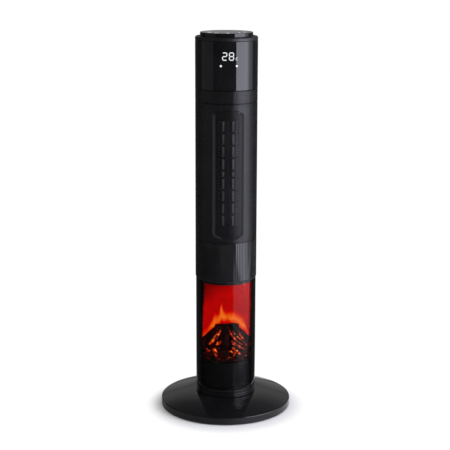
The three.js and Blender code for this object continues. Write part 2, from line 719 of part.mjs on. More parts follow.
function emberBed() {
  const low = PLINTH_TOP + SEAT;
  const slab = prism(dOutline(PLINTH_RADIUS - EMBER_INSET, PLINTH_BACK), low, low + EMBER_HEIGHT / 2);
  const mound = prism(
    dOutline(PLINTH_RADIUS - EMBER_HEIGHT, PLINTH_BACK - EMBER_HEIGHT),
    low,
    low + EMBER_HEIGHT,
  );
  return joined(slab, mound);
}

// Each log is a tapered round between two points, given as shares of the pile's half width, depth and height
const PILE_SIDE_ROOM = 9;
const PILE_FRONT_ROOM = 11;
const PILE_HALF_WIDTH = PLINTH_RADIUS - PILE_SIDE_ROOM;
const PILE_DEPTH = PLINTH_RADIUS - PILE_FRONT_ROOM;
const PILE_HEIGHT = 76;
const LOG_RADIUS = 8;
const LOG_SIDES = 7;
const logShares = [
  { from: [-0.2, 0.22, 0.88], to: [-0.98, 0.22, 0.5], ends: [1.1, 0.85] },
  { from: [0.2, 0.22, 0.88], to: [0.98, 0.2, 0.54], ends: [1.1, 0.85] },
  { from: [-0.46, 0.26, 0.86], to: [0.48, 0.26, 0.87], ends: [1, 1.05] },
  { from: [0.05, 0.5, 0.84], to: [0.07, 0.8, 0.06], ends: [1, 1.15] },
  { from: [-0.14, 0.45, 0.84], to: [-0.82, 0.6, 0.05], ends: [0.95, 1] },
  { from: [0.2, 0.45, 0.84], to: [0.88, 0.56, 0.07], ends: [0.95, 1] },
  { from: [-0.62, 0.3, 0.6], to: [-0.22, 0.84, 0.05], ends: [0.6, 0.8] },
  { from: [0.7, 0.3, 0.6], to: [0.36, 0.82, 0.05], ends: [0.6, 0.8] },
];

function logSet() {
  const place = ([x, y, z]) => {
    return new THREE.Vector3(PILE_HALF_WIDTH * x, PLINTH_BACK - PILE_DEPTH * y, EMBER_TOP + PILE_HEIGHT * z);
  };
  const logs = logShares.map(({ from, to, ends }) => {
    const start = place(from);
    const run = place(to).sub(start);
    const length = run.length();
    const radii = ends.map((share) => LOG_RADIUS * share);
    const log = turned([[0, 0], [radii[0], 0], [radii[1], length], [0, length]], LOG_SIDES);
    const turn = new THREE.Quaternion().setFromUnitVectors(new THREE.Vector3(0, 0, 1), run.normalize());
    return log.applyQuaternion(turn).translate(start.x, start.y, start.z);
  });
  const floor = EMBER_TOP + SEAT;
  const keep = prism(dOutline(PLINTH_RADIUS, PLINTH_BACK), floor, floor + PILE_HEIGHT);
  return common(joined(...logs), keep);
}

const DECK_SPIGOT = 5.5;
const MODULE_TOP = LANTERN_TOP - DECK_SPIGOT;

function flameScreen() {
  return box(
    -SCREEN_HALF_WIDTH,
    SCREEN_HALF_WIDTH,
    SCREEN_Y,
    SCREEN_Y + SCREEN_THICKNESS,
    FLOOR_Z,
    MODULE_TOP - SEAT,
  );
}

const REFLECTOR_CLEARANCE = 3;
const REFLECTOR_OUTER = LANTERN_INSIDE - REFLECTOR_CLEARANCE;
const REFLECTOR_INNER = REFLECTOR_OUTER - SCREEN_THICKNESS;

function reflector() {
  const start = Math.asin((SCREEN_Y + SCREEN_THICKNESS + SEAT) / REFLECTOR_INNER);
  return arcWall(REFLECTOR_OUTER, REFLECTOR_INNER, start, HALF - start, FLOOR_Z, MODULE_TOP - SEAT);
}

const FIN_REACH = 12;
const FIN_CLEARANCE = 2.2;
const ROTOR_RISE = 97;
const ROTOR_Y = SCREEN_Y + SCREEN_THICKNESS + FIN_CLEARANCE + FIN_REACH;
const ROTOR_Z = FLOOR_Z + ROTOR_RISE;
const ROTOR_SHAFT = 1.5;
const FIN_THICKNESS = 0.8;
const FIN_WIDTH = 9;
const FIN_STATIONS = 5;
const FINS_PER_STATION = 3;
const UPRIGHT_THICKNESS = 2;
const UPRIGHT_HALF_DEPTH = 8;
const ROTOR_MOTOR_RADIUS = 9;
const ROTOR_MOTOR_LENGTH = 11;
const ROTOR_MOTOR_ROOM = Math.sqrt(REFLECTOR_INNER ** 2 - (ROTOR_Y + ROTOR_MOTOR_RADIUS) ** 2);
const ROTOR_MOTOR_END = ROTOR_MOTOR_ROOM - SEAM;
const UPRIGHT_X = ROTOR_MOTOR_END - ROTOR_MOTOR_LENGTH - SEAT - UPRIGHT_THICKNESS;
const FIN_END_GAP = 2;
const ROTOR_HALF_LENGTH = UPRIGHT_X - FIN_END_GAP;

function rotorBracket() {
  const top = ROTOR_Z + UPRIGHT_HALF_DEPTH;
  const [y0, y1] = [ROTOR_Y - UPRIGHT_HALF_DEPTH, ROTOR_Y + UPRIGHT_HALF_DEPTH];
  const foot = box(-UPRIGHT_X, UPRIGHT_X, y0, y1, FLOOR_Z, FLOOR_Z + UPRIGHT_THICKNESS);
  const left = box(-UPRIGHT_X - UPRIGHT_THICKNESS, -UPRIGHT_X, y0, y1, FLOOR_Z, top);
  const right = box(UPRIGHT_X, UPRIGHT_X + UPRIGHT_THICKNESS, y0, y1, FLOOR_Z, top);
  const reach = UPRIGHT_X + UPRIGHT_THICKNESS + OVERRUN;
  const holes = rodX(ROTOR_SHAFT + RUNNING_GAP, -reach, reach, ROTOR_Y, ROTOR_Z, SMALL_SIDES);
  return cut(joined(foot, left, right), holes);
}

function rotorMotor() {
  const start = UPRIGHT_X + UPRIGHT_THICKNESS + SEAT;
  const can = rodX(ROTOR_MOTOR_RADIUS, start, start + ROTOR_MOTOR_LENGTH, ROTOR_Y, ROTOR_Z, SMALL_SIDES);
  const boreEnd = start + ROTOR_MOTOR_LENGTH / 2;
  const bore = rodX(ROTOR_SHAFT + RUNNING_GAP, start - OVERRUN, boreEnd, ROTOR_Y, ROTOR_Z, SMALL_SIDES);
  return cut(can, bore);
}

function flameRotor() {
  const reach = UPRIGHT_X + UPRIGHT_THICKNESS + SEAT + ROTOR_MOTOR_LENGTH / 2 - RUNNING_GAP;
  const shaft = rodX(ROTOR_SHAFT, -UPRIGHT_X - UPRIGHT_THICKNESS, reach, 0, 0, SMALL_SIDES);
  const pitch = 2 * ROTOR_HALF_LENGTH / FIN_STATIONS;
  const fins = [];
  for (let station = 0; station < FIN_STATIONS; station += 1) {
    const x = -ROTOR_HALF_LENGTH + pitch * (station + 1 / 2);
    const halfWidth = FIN_WIDTH / 2;
    const halfThickness = FIN_THICKNESS / 2;
    const fin = box(x - halfWidth, x + halfWidth, 0, FIN_REACH, -halfThickness, halfThickness);
    const twist = FULL * station / (FIN_STATIONS * FINS_PER_STATION);
    fins.push(...around(FINS_PER_STATION, twist, (angle) => fin.clone().rotateX(angle)));
  }
  return moved(joined(shaft, ...fins), 0, ROTOR_Y, ROTOR_Z);
}

// Mid deck: the lid of the flame section and the floor of the heater
const DECK_FLANGE_RADIUS = LANTERN_RADIUS - SEAT;
const DECK_RISE = 4;
const DECK_HOLE_RADIUS = 14;
const COLLAR_INSIDE = COLUMN_RADIUS - WALL;
const DECK_TOP = COLLAR_Z - SEAT;

function midDeck() {
  const spigot = LANTERN_INSIDE - SEAT;
  const rim = COLLAR_INSIDE - SEAT;
  return turned([
    [DECK_HOLE_RADIUS, LANTERN_TOP - DECK_SPIGOT + WALL],
    [spigot - WALL, LANTERN_TOP - DECK_SPIGOT + WALL],
    [spigot - WALL, LANTERN_TOP - DECK_SPIGOT],
    [spigot, LANTERN_TOP - DECK_SPIGOT],
    [spigot, LANTERN_TOP],
    [DECK_FLANGE_RADIUS, LANTERN_TOP],
    [DECK_FLANGE_RADIUS, DECK_TOP],
    [rim, DECK_TOP],
    [rim, DECK_TOP + DECK_RISE],
    [rim - WALL, DECK_TOP + DECK_RISE],
    [rim - WALL, DECK_TOP],
    [DECK_HOLE_RADIUS, DECK_TOP],
  ], COLUMN_SIDES);
}

add('turntable', turntable(), plainBlack);
add('spindle_clip', spindleClip(), steel);
add('ring_gear', ringGear(), paleNylon);
add('flame_window', flameWindow(), smokedClear);
add('lantern_rear_shell', lanternRearShell(), glossBlack);
add('log_plinth', logPlinth(), plainBlack);
add('light_board', lightBoard(), circuitGreen);
add('ember_bed', emberBed(), emberOrange);
add('log_set', logSet(), logBrown);
add('flame_screen', flameScreen(), flameRed);
add('reflector', reflector(), aluminium);
add('rotor_bracket', rotorBracket(), steel);
add('rotor_motor', rotorMotor(), steel);
add('flame_rotor', flameRotor(), aluminium);
add('mid_deck', midDeck(), plainBlack);

// Collar: the pinstriped ring, with the mains switch in its rear
const EDGE_CHAMFER = 1.2;
const ROCKER_Z = COLLAR_Z + COLLAR_HEIGHT / 2;
const SWITCH_HALF_WIDTH = 6.3;
const SWITCH_HALF_HEIGHT = 9.8;
const SWITCH_FLANGE = 2;
const SWITCH_FLANGE_LIP = 1.6;
const SWITCH_DEPTH = 15;
const SWITCH_WALL = 1.2;
const ROCKER_HALF_WIDTH = 4.6;
const ROCKER_HALF_HEIGHT = 7.6;
const ROCKER_TILT = degrees(7);
const SWITCH_FACE_Y = COLUMN_RADIUS + SEAT + SWITCH_FLANGE;

function switchOpening(depth) {
  const half = SWITCH_HALF_WIDTH + SEAT;
  const tall = SWITCH_HALF_HEIGHT + SEAT;
  return box(-half, half, COLUMN_RADIUS - depth, COLUMN_RADIUS + OVERRUN, ROCKER_Z - tall, ROCKER_Z + tall);
}

function lowerCollar() {
  const ring = turned([
    [COLLAR_INSIDE, COLLAR_Z],
    [COLUMN_RADIUS - EDGE_CHAMFER, COLLAR_Z],
    [COLUMN_RADIUS, COLLAR_Z + EDGE_CHAMFER],
    [COLUMN_RADIUS, COLLAR_TOP],
    [COLLAR_INSIDE, COLLAR_TOP],
  ], COLUMN_SIDES);
  return cut(ring, switchOpening(WALL * 3));
}

function switchFrame() {
  const wide = SWITCH_HALF_WIDTH + SWITCH_FLANGE_LIP;
  const tall = SWITCH_HALF_HEIGHT + SWITCH_FLANGE_LIP;
  const back = SWITCH_FACE_Y - SWITCH_DEPTH;
  const flangeY = COLUMN_RADIUS + SEAT;
  const flange = box(-wide, wide, flangeY, SWITCH_FACE_Y, ROCKER_Z - tall, ROCKER_Z + tall);
  const body = box(
    -SWITCH_HALF_WIDTH,
    SWITCH_HALF_WIDTH,
    back,
    SWITCH_FACE_Y - SWITCH_FLANGE / 2,
    ROCKER_Z - SWITCH_HALF_HEIGHT,
    ROCKER_Z + SWITCH_HALF_HEIGHT,
  );
  const innerWide = SWITCH_HALF_WIDTH - SWITCH_WALL;
  const innerTall = SWITCH_HALF_HEIGHT - SWITCH_WALL;
  const cavity = box(
    -innerWide,
    innerWide,
    back + SWITCH_WALL,
    SWITCH_FACE_Y + OVERRUN,
    ROCKER_Z - innerTall,
    ROCKER_Z + innerTall,
  );
  return cut(joined(flange, body), cavity);
}

// The rocker is drawn as its side outline, laid across and tilted to its off side
const rockerOutlineShares = [[-0.65, -0.7], [0.22, -1], [0.12, 0], [0.22, 1], [-0.65, 0.7]];

function mainsRocker() {
  const outline = rockerOutlineShares.map(
    ([out, up]) => [ROCKER_HALF_HEIGHT * out, ROCKER_HALF_HEIGHT * up],
  );
  const rocker = prism(outline, -ROCKER_HALF_WIDTH, ROCKER_HALF_WIDTH);
  rocker.rotateY(-QUARTER).rotateX(QUARTER).rotateZ(HALF).rotateX(ROCKER_TILT);
  return moved(rocker, 0, SWITCH_FACE_Y - SWITCH_FLANGE, ROCKER_Z);
}

// Power board on the mid deck
const POWER_BOARD_Y = 20;
const POWER_BOARD_HALF_WIDTH = 40;
const POWER_BOARD_HEIGHT = 72;
const TALLEST_PART = 22;

function powerBoard() {
  const low = DECK_TOP + SEAT;
  const front = POWER_BOARD_Y - BOARD_THICKNESS;
  const board = box(
    -POWER_BOARD_HALF_WIDTH,
    POWER_BOARD_HALF_WIDTH,
    front,
    POWER_BOARD_Y,
    low,
    low + POWER_BOARD_HEIGHT,
  );
  // Two relays, a filter coil, a capacitor and a driver, as shares of the board and of the tallest part
  const partShares = [
    { x: [-0.8, -0.35], z: [0.15, 0.4], out: 0.73 },
    { x: [-0.25, 0.2], z: [0.15, 0.4], out: 0.73 },
    { x: [0.35, 0.8], z: [0.12, 0.45], out: 0.9 },
    { x: [-0.75, -0.1], z: [0.55, 0.85], out: 1 },
    { x: [0.1, 0.7], z: [0.6, 0.8], out: 0.45 },
  ];
  const parts = partShares.map(({ x, z, out }) => box(
    POWER_BOARD_HALF_WIDTH * x[0],
    POWER_BOARD_HALF_WIDTH * x[1],
    front - TALLEST_PART * out,
    front + BOARD_THICKNESS / 2,
    low + POWER_BOARD_HEIGHT * z[0],
    low + POWER_BOARD_HEIGHT * z[1],
  ));
  return joined(board, ...parts);
}

add('lower_collar', lowerCollar(), satinBlack);
add('mains_switch_frame', switchFrame(), plainBlack);
add('mains_rocker', mainsRocker(), glossBlack);
add('power_board', powerBoard(), circuitGreen);

// Front panel: half the column's wall, with an eight-sided recess whose floor holds the outlet slots
const RECESS_DEPTH = 5;
const RECESS_HALF_WIDTH = 32.3;
const RECESS_TOP_MARGIN = 12.5;
const RECESS_BOTTOM_MARGIN = 8.5;
const RECESS_TOP = PANEL_TOP - RECESS_TOP_MARGIN;
const RECESS_BOTTOM = PANEL_Z + RECESS_BOTTOM_MARGIN;
const RECESS_CORNER_WIDTH = 16.3;
const RECESS_CORNER_HEIGHT = 8.6;
const BEVEL = 5.8;
const PANEL_JOINT = degrees(0.35);
const FLOOR_RADIUS = COLUMN_RADIUS - RECESS_DEPTH;
const FLOOR_WALL = 2.1;
const OUTLET_BOTTOM_MARGIN = 36.6;
const OUTLET_TOP_MARGIN = 35.2;
const OUTLET_Z = PANEL_Z + OUTLET_BOTTOM_MARGIN;
const OUTLET_TOP = PANEL_TOP - OUTLET_TOP_MARGIN;
const SLOT_WIDTH = 4.4;
const CENTRE_SLOT_WIDTH = 2.4;
const SLOT_RIB = 4;
const SLOT_COLUMN_INNER = 10.2;
const SLOT_COLUMN_OUTER = 18.6;
const LONG_SLOTS_PER_END = 4;
const SHORT_SLOT_SHARE = 0.5;

// An eight-sided outline in X and Z, drawn inwards by an inset, at depth y
function octagon(inset, y) {
  const wide = RECESS_HALF_WIDTH - inset;
  const corner = RECESS_CORNER_WIDTH - inset / 2;
  const [low, high] = [RECESS_BOTTOM + inset, RECESS_TOP - inset];
  const cornerLow = RECESS_BOTTOM + RECESS_CORNER_HEIGHT + inset / 2;
  const cornerHigh = RECESS_TOP - RECESS_CORNER_HEIGHT - inset / 2;
  return [
    [corner, low],
    [wide, cornerLow],
    [wide, cornerHigh],
    [corner, high],
    [-corner, high],
    [-wide, cornerHigh],
    [-wide, cornerLow],
    [-corner, low],
  ].map(([x, z]) => new THREE.Vector3(x, y, z));
}

// A block between two eight-sided outlines
function octagonBlock(near, far) {
  const count = near.length;
  const triangles = [];
  for (let i = 0; i < count; i += 1) {
    const next = (i + 1) % count;
    triangles.push(near[i], near[next], far[i], near[next], far[next], far[i]);
  }
  for (let i = 1; i < count - 1; i += 1) {
    triangles.push(near[0], near[i + 1], near[i], far[0], far[i], far[i + 1]);
  }
  return new THREE.BufferGeometry().setFromPoints(triangles);
}

function outletSlots() {
  const longCount = LONG_SLOTS_PER_END * 2;
  const ribs = longCount * SLOT_RIB;
  const long = (OUTLET_TOP - OUTLET_Z - ribs) / (longCount + SHORT_SLOT_SHARE);
  const [near, far] = [-COLUMN_RADIUS, -FLOOR_RADIUS + RECESS_DEPTH * 2];
  const slots = [box(-CENTRE_SLOT_WIDTH / 2, CENTRE_SLOT_WIDTH / 2, near, far, OUTLET_Z, OUTLET_TOP)];
  for (const column of [-SLOT_COLUMN_OUTER, -SLOT_COLUMN_INNER, SLOT_COLUMN_INNER, SLOT_COLUMN_OUTER]) {
    let z = OUTLET_Z;
    for (let i = 0; i <= longCount; i += 1) {
      const height = i === LONG_SLOTS_PER_END ? long * SHORT_SLOT_SHARE : long;
      slots.push(box(column - SLOT_WIDTH / 2, column + SLOT_WIDTH / 2, near, far, z, z + height));
      z += height + SLOT_RIB;
    }
  }
  return slots;
}

const RAIL_X = 27.6;
const RAIL_WIDTH = 2;
const ELEMENT_HALF_WIDTH = 30;
const ELEMENT_CLEARANCE = 0.8;
const ELEMENT_CORNER_RADIUS = FLOOR_RADIUS - FLOOR_WALL - ELEMENT_CLEARANCE;
const ELEMENT_FRONT_Y = -Math.sqrt(ELEMENT_CORNER_RADIUS ** 2 - ELEMENT_HALF_WIDTH ** 2);

function frontPanel() {
  const half = QUARTER - PANEL_JOINT;
  const wall = arcWall(COLUMN_RADIUS, COLLAR_INSIDE, FRONT - half, FRONT + half, PANEL_Z, PANEL_TOP);
  const panWall = arcWall(
    COLUMN_RADIUS - SEAT,
    FLOOR_RADIUS - FLOOR_WALL,
    FRONT - half / 2,
    FRONT + half / 2,
    PANEL_Z,
    PANEL_TOP,
  );
  const outer = -COLUMN_RADIUS - OVERRUN;
  const panBlock = octagonBlock(octagon(-WALL, outer), octagon(-WALL, 0));
  const pan = common(panWall, panBlock);
  const bevelPerDepth = BEVEL / (RECESS_DEPTH * 2);
  const rise = -outer - FLOOR_RADIUS * Math.cos(Math.asin(RECESS_HALF_WIDTH / COLUMN_RADIUS)) + OVERRUN;
  const hollow = octagonBlock(octagon(-rise * bevelPerDepth / 2, outer), octagon(BEVEL, outer + rise));
  const core = rod(FLOOR_RADIUS, PANEL_Z - OVERRUN, PANEL_TOP + OVERRUN, COLUMN_SIDES);
  const recess = cut(hollow, core);
  const rails = [-RAIL_X, RAIL_X].map((x) => box(
    x - RAIL_WIDTH / 2,
    x + RAIL_WIDTH / 2,
    -COLLAR_INSIDE * Math.cos(Math.asin(RAIL_X / COLLAR_INSIDE)) + WALL / 2,
    ELEMENT_FRONT_Y - SEAT,
    OUTLET_Z,
    OUTLET_TOP,
  ));
  return cut(joined(wall, pan, ...rails), recess, ...outletSlots());
}

// Rear panel: the other half, with rows of intake slots
const INTAKE_SLOT_HEIGHT = 3.4;
const INTAKE_SLOT_WIDTH = 26;
const INTAKE_COLUMN_GAP = 5;
const INTAKE_COLUMNS = 2;
const INTAKE_ROWS = 14;
const INTAKE_PITCH = 13;

function rearPanel() {
  const half = QUARTER - PANEL_JOINT;
  const wall = arcWall(COLUMN_RADIUS, COLLAR_INSIDE, REAR - half, REAR + half, PANEL_Z, PANEL_TOP);
  const middle = (OUTLET_Z + OUTLET_TOP) / 2;
  const slots = [];
  for (let row = 0; row < INTAKE_ROWS; row += 1) {
    const z = middle + (row - (INTAKE_ROWS - 1) / 2) * INTAKE_PITCH;
    for (let column = 0; column < INTAKE_COLUMNS; column += 1) {
      const x = (column - (INTAKE_COLUMNS - 1) / 2) * (INTAKE_SLOT_WIDTH + INTAKE_COLUMN_GAP);
      slots.push(box(
        x - INTAKE_SLOT_WIDTH / 2,
        x + INTAKE_SLOT_WIDTH / 2,
        COLUMN_RADIUS / 2,
        COLUMN_RADIUS + OVERRUN,
        z - INTAKE_SLOT_HEIGHT / 2,
        z + INTAKE_SLOT_HEIGHT / 2,
      ));
    }
  }
  return cut(wall, ...slots);
}

// Heating element: a frame behind the outlet that holds the finned core
const ELEMENT_DEPTH = 14;
const ELEMENT_RAIL = 6;
const ELEMENT_MARGIN = 6.6;
const ELEMENT_Z = OUTLET_Z - ELEMENT_MARGIN;
const ELEMENT_TOP = OUTLET_TOP + ELEMENT_MARGIN;
const ELEMENT_BACK_Y = ELEMENT_FRONT_Y + ELEMENT_DEPTH;
const CORE_CLEARANCE = 0.3;
const CORE_FINS = 14;
const FIN_SHARE = 0.45;
const CORE_BACKBONE = 3;

function elementFrame() {
  const block = box(
    -ELEMENT_HALF_WIDTH,
    ELEMENT_HALF_WIDTH,
    ELEMENT_FRONT_Y,
    ELEMENT_BACK_Y,
    ELEMENT_Z,
    ELEMENT_TOP,
  );
  const wide = ELEMENT_HALF_WIDTH - ELEMENT_RAIL;
  const window = box(
    -wide,
    wide,
    ELEMENT_FRONT_Y - OVERRUN,
    ELEMENT_BACK_Y + OVERRUN,
    ELEMENT_Z + ELEMENT_RAIL,
    ELEMENT_TOP - ELEMENT_RAIL,
  );
  return cut(block, window);
}

// The core's fins stand upright in the draught, on both sides of a thin plate of heating stones
function elementCore() {
  const wide = ELEMENT_HALF_WIDTH - ELEMENT_RAIL - CORE_CLEARANCE;
  const pitch = 2 * wide / CORE_FINS;
  const middle = (ELEMENT_FRONT_Y + ELEMENT_BACK_Y) / 2;
  const [front, back] = [ELEMENT_FRONT_Y + CORE_CLEARANCE, ELEMENT_BACK_Y - CORE_CLEARANCE];
  const [nearPlate, farPlate] = [middle - CORE_BACKBONE / 2, middle + CORE_BACKBONE / 2];
  const comb = (tip, root) => Array.from({ length: CORE_FINS }, (_, i) => {
    const left = -wide + pitch * (i + (1 - FIN_SHARE) / 2);
    const right = left + pitch * FIN_SHARE;
    return [[left, root], [left, tip], [right, tip], [right, root]];
  }).flat();
  const outline = [
    [-wide, nearPlate],
    ...comb(front, nearPlate),
    [wide, nearPlate],
    [wide, farPlate],
    ...comb(back, farPlate).reverse(),
    [-wide, farPlate],
  ];
  const low = ELEMENT_Z + ELEMENT_RAIL + CORE_CLEARANCE;
  const high = ELEMENT_TOP - ELEMENT_RAIL - CORE_CLEARANCE;
  return prism(outline, low, high);
}

const CUTOUT_RADIUS = 6.5;
const CUTOUT_HEIGHT = 6;

function thermalCutout() {
  const low = ELEMENT_TOP + SEAT;
  const can = rod(CUTOUT_RADIUS, low, low + CUTOUT_HEIGHT, SMALL_SIDES);
  return moved(can, 0, (ELEMENT_FRONT_Y + ELEMENT_BACK_Y) / 2, 0);
}

// Cross-flow blower behind the element
const WHEEL_Y = 8;
const WHEEL_RADIUS = 26;
const WHEEL_INNER = 20;
const WHEEL_DISC = 2;
const WHEEL_BLADES = 12;
const BLADE_THICKNESS = 1.2;
const BLADE_LEAN = degrees(35);
const WHEEL_GAP = 2;
const WHEEL_SHAFT = 2.5;
const DUCT_WALL = 2;
const DUCT_GAP = 3;
const DUCT_END = 2.4;
const DUCT_BOTTOM_INSET = 4;
const DUCT_TOP_INSET = 14;
const DUCT_Z = ELEMENT_Z + DUCT_BOTTOM_INSET;
const DUCT_TOP = ELEMENT_TOP - DUCT_TOP_INSET;
const DUCT_MOUTH_Y = ELEMENT_BACK_Y + SEAT;
const BLOWER_MOTOR_RADIUS = 20;
const BLOWER_MOTOR_HEIGHT = 24;
const BLOWER_MOTOR_BORE = 12;
const BEARING_RADIUS = 5;
const BEARING_FLANGE = 8;
const BEARING_DROP = 1.5;
const BEARING_CAP = 1.7;

function airDuct() {
  const inner = WHEEL_RADIUS + DUCT_GAP;
  const outer = inner + DUCT_WALL;
  const [leftEnd, rightEnd] = [degrees(125), degrees(35)];
  const left = joined(
    box(-outer, -inner, DUCT_MOUTH_Y, WHEEL_Y + OVERRUN, DUCT_Z, DUCT_TOP),
    moved(arcWall(outer, inner, leftEnd, HALF, DUCT_Z, DUCT_TOP), 0, WHEEL_Y, 0),
  );
  const right = joined(
    box(inner, outer, DUCT_MOUTH_Y, WHEEL_Y + OVERRUN, DUCT_Z, DUCT_TOP),
    moved(arcWall(outer, inner, 0, rightEnd, DUCT_Z, DUCT_TOP), 0, WHEEL_Y, 0),
  );
  const back = WHEEL_Y + WHEEL_RADIUS;
  const floorTop = DUCT_Z + DUCT_END;
  const lidBottom = DUCT_TOP - DUCT_END;
  const floor = box(-outer, outer, DUCT_MOUTH_Y, back, DUCT_Z, floorTop);
  const lid = box(-outer, outer, DUCT_MOUTH_Y, back, lidBottom, DUCT_TOP);
  const shaftHole = rod(WHEEL_SHAFT + RUNNING_GAP, DUCT_Z - OVERRUN, floorTop + OVERRUN, SMALL_SIDES);
  const bushHole = rod(BEARING_RADIUS + SEAT, lidBottom - OVERRUN, DUCT_TOP + OVERRUN, SMALL_SIDES);
  return cut(
    joined(left, right, floor, lid),
    moved(shaftHole, 0, WHEEL_Y, 0),
    moved(bushHole, 0, WHEEL_Y, 0),
  );
}

function blowerWheel() {
  const low = DUCT_Z + DUCT_END + WHEEL_GAP;
  const high = DUCT_TOP - DUCT_END - WHEEL_GAP;
  const middle = (low + high) / 2;
  const shaftLow = DUCT_Z - SEAT - BLOWER_MOTOR_BORE + RUNNING_GAP;
  const blade = box(
    WHEEL_INNER,
    WHEEL_RADIUS,
    -BLADE_THICKNESS / 2,
    BLADE_THICKNESS / 2,
    low + WHEEL_DISC / 2,
    high - WHEEL_DISC / 2,
  );
  const centre = (WHEEL_INNER + WHEEL_RADIUS) / 2;
  blade.translate(-centre, 0, 0).rotateZ(BLADE_LEAN).translate(centre, 0, 0);
  const wheel = joined(
    rod(WHEEL_RADIUS, low, low + WHEEL_DISC, MEDIUM_SIDES),
    rod(WHEEL_RADIUS, high - WHEEL_DISC, high, MEDIUM_SIDES),
    tube(WHEEL_RADIUS, WHEEL_INNER, middle - WHEEL_DISC / 2, middle + WHEEL_DISC / 2, MEDIUM_SIDES),
    rod(WHEEL_SHAFT, shaftLow, DUCT_TOP + RUNNING_GAP, SMALL_SIDES),
    ...around(WHEEL_BLADES, 0, (angle) => blade.clone().rotateZ(angle)),
  );
  return moved(wheel, 0, WHEEL_Y, 0);
}

function blowerMotor() {
  const top = DUCT_Z - SEAT;
  const bore = WHEEL_SHAFT + RUNNING_GAP;
  const motor = turned([
    [0, top - BLOWER_MOTOR_HEIGHT],
    [BLOWER_MOTOR_RADIUS, top - BLOWER_MOTOR_HEIGHT],
    [BLOWER_MOTOR_RADIUS, top],
    [bore, top],
    [bore, top - BLOWER_MOTOR_BORE],
    [0, top - BLOWER_MOTOR_BORE],
  ], MEDIUM_SIDES);
  return moved(motor, 0, WHEEL_Y, 0);
}

// A flanged cup in the duct's lid that takes the top of the wheel's shaft
function blowerBearing() {
  const bore = WHEEL_SHAFT + RUNNING_GAP;
  const flangeZ = DUCT_TOP + SEAT;
  const low = DUCT_TOP - DUCT_END - BEARING_DROP + SEAT;
  const bearing = turned([
    [bore, low],
    [BEARING_RADIUS, low],
    [BEARING_RADIUS, flangeZ],
    [BEARING_FLANGE, flangeZ],
    [BEARING_FLANGE, flangeZ + BEARING_CAP],
    [0, flangeZ + BEARING_CAP],
    [0, flangeZ + BEARING_CAP / 2],
    [bore, flangeZ + BEARING_CAP / 2],
  ], SMALL_SIDES);
  return moved(bearing, 0, WHEEL_Y, 0);
}

add('front_panel', frontPanel(), satinBlack);
add('rear_panel', rearPanel(), satinBlack);
add('element_frame', elementFrame(), mica);
add('element_core', elementCore(), aluminium);
add('thermal_cutout', thermalCutout(), copper);
add('air_duct', airDuct(), steel);
add('blower_wheel', blowerWheel(), aluminium);
add('blower_motor', blowerMotor(), steel);
add('blower_bearing', blowerBearing(), paleNylon);

// Upper band and head, with the display behind the head's front
const HEAD_WALL = 2.2;
const HEAD_INSIDE = COLUMN_RADIUS - HEAD_WALL;
const DISPLAY_RISE = 69;
const DISPLAY_Z = HEAD_Z + DISPLAY_RISE;
const DISPLAY_HALF_WIDTH = 24;
const DISPLAY_HALF_HEIGHT = 26;
const DISPLAY_SETBACK = 10.3;
const DISPLAY_FRONT_Y = DISPLAY_SETBACK - HEAD_INSIDE;
const DIGITS_HALF_WIDTH = 13;
const DIGITS_HALF_HEIGHT = 12;
const DIGITS_DEPTH = 8;
const INDICATOR_X = 16.5;
const INDICATOR_DROP = 19;
const INDICATOR_RADIUS = 2.3;
const INDICATOR_DEPTH = 5.5;
const PEG = 5;

function upperBand() {
  return tube(COLUMN_RADIUS, COLLAR_INSIDE, BAND_Z, BAND_TOP, COLUMN_SIDES);
}

function headShell() {
  const ring = tube(COLUMN_RADIUS, HEAD_INSIDE, HEAD_Z, HEAD_TOP, COLUMN_SIDES);
  const pegX = DISPLAY_HALF_WIDTH - PEG / 2;
  const pegZ = DISPLAY_HALF_HEIGHT - PEG / 2;
  const pegs = [[-1, -1], [1, -1], [-1, 1], [1, 1]].map(([side, level]) => {
    const [x, z] = [pegX * side, DISPLAY_Z + pegZ * level];
    const root = -HEAD_INSIDE * Math.cos(Math.asin(DISPLAY_HALF_WIDTH / HEAD_INSIDE)) - HEAD_WALL / 3;
    return box(x - PEG / 2, x + PEG / 2, root, DISPLAY_FRONT_Y - SEAT, z - PEG / 2, z + PEG / 2);
  });
  return joined(ring, ...pegs);
}

function displayModule() {
  const board = box(
    -DISPLAY_HALF_WIDTH,
    DISPLAY_HALF_WIDTH,
    DISPLAY_FRONT_Y,
    DISPLAY_FRONT_Y + BOARD_THICKNESS,
    DISPLAY_Z - DISPLAY_HALF_HEIGHT,
    DISPLAY_Z + DISPLAY_HALF_HEIGHT,
  );
  const middle = DISPLAY_FRONT_Y + BOARD_THICKNESS / 2;
  const digits = box(
    -DIGITS_HALF_WIDTH,
    DIGITS_HALF_WIDTH,
    DISPLAY_FRONT_Y - DIGITS_DEPTH,
    middle,
    DISPLAY_Z - DIGITS_HALF_HEIGHT,
    DISPLAY_Z + DIGITS_HALF_HEIGHT,
  );
  const lights = [-INDICATOR_X, INDICATOR_X].map((x) => rodY(
    INDICATOR_RADIUS,
    DISPLAY_FRONT_Y - INDICATOR_DEPTH,
    middle,
    x,
    DISPLAY_Z - INDICATOR_DROP,
    SMALL_SIDES,
  ));
  return joined(board, digits, ...lights);
}

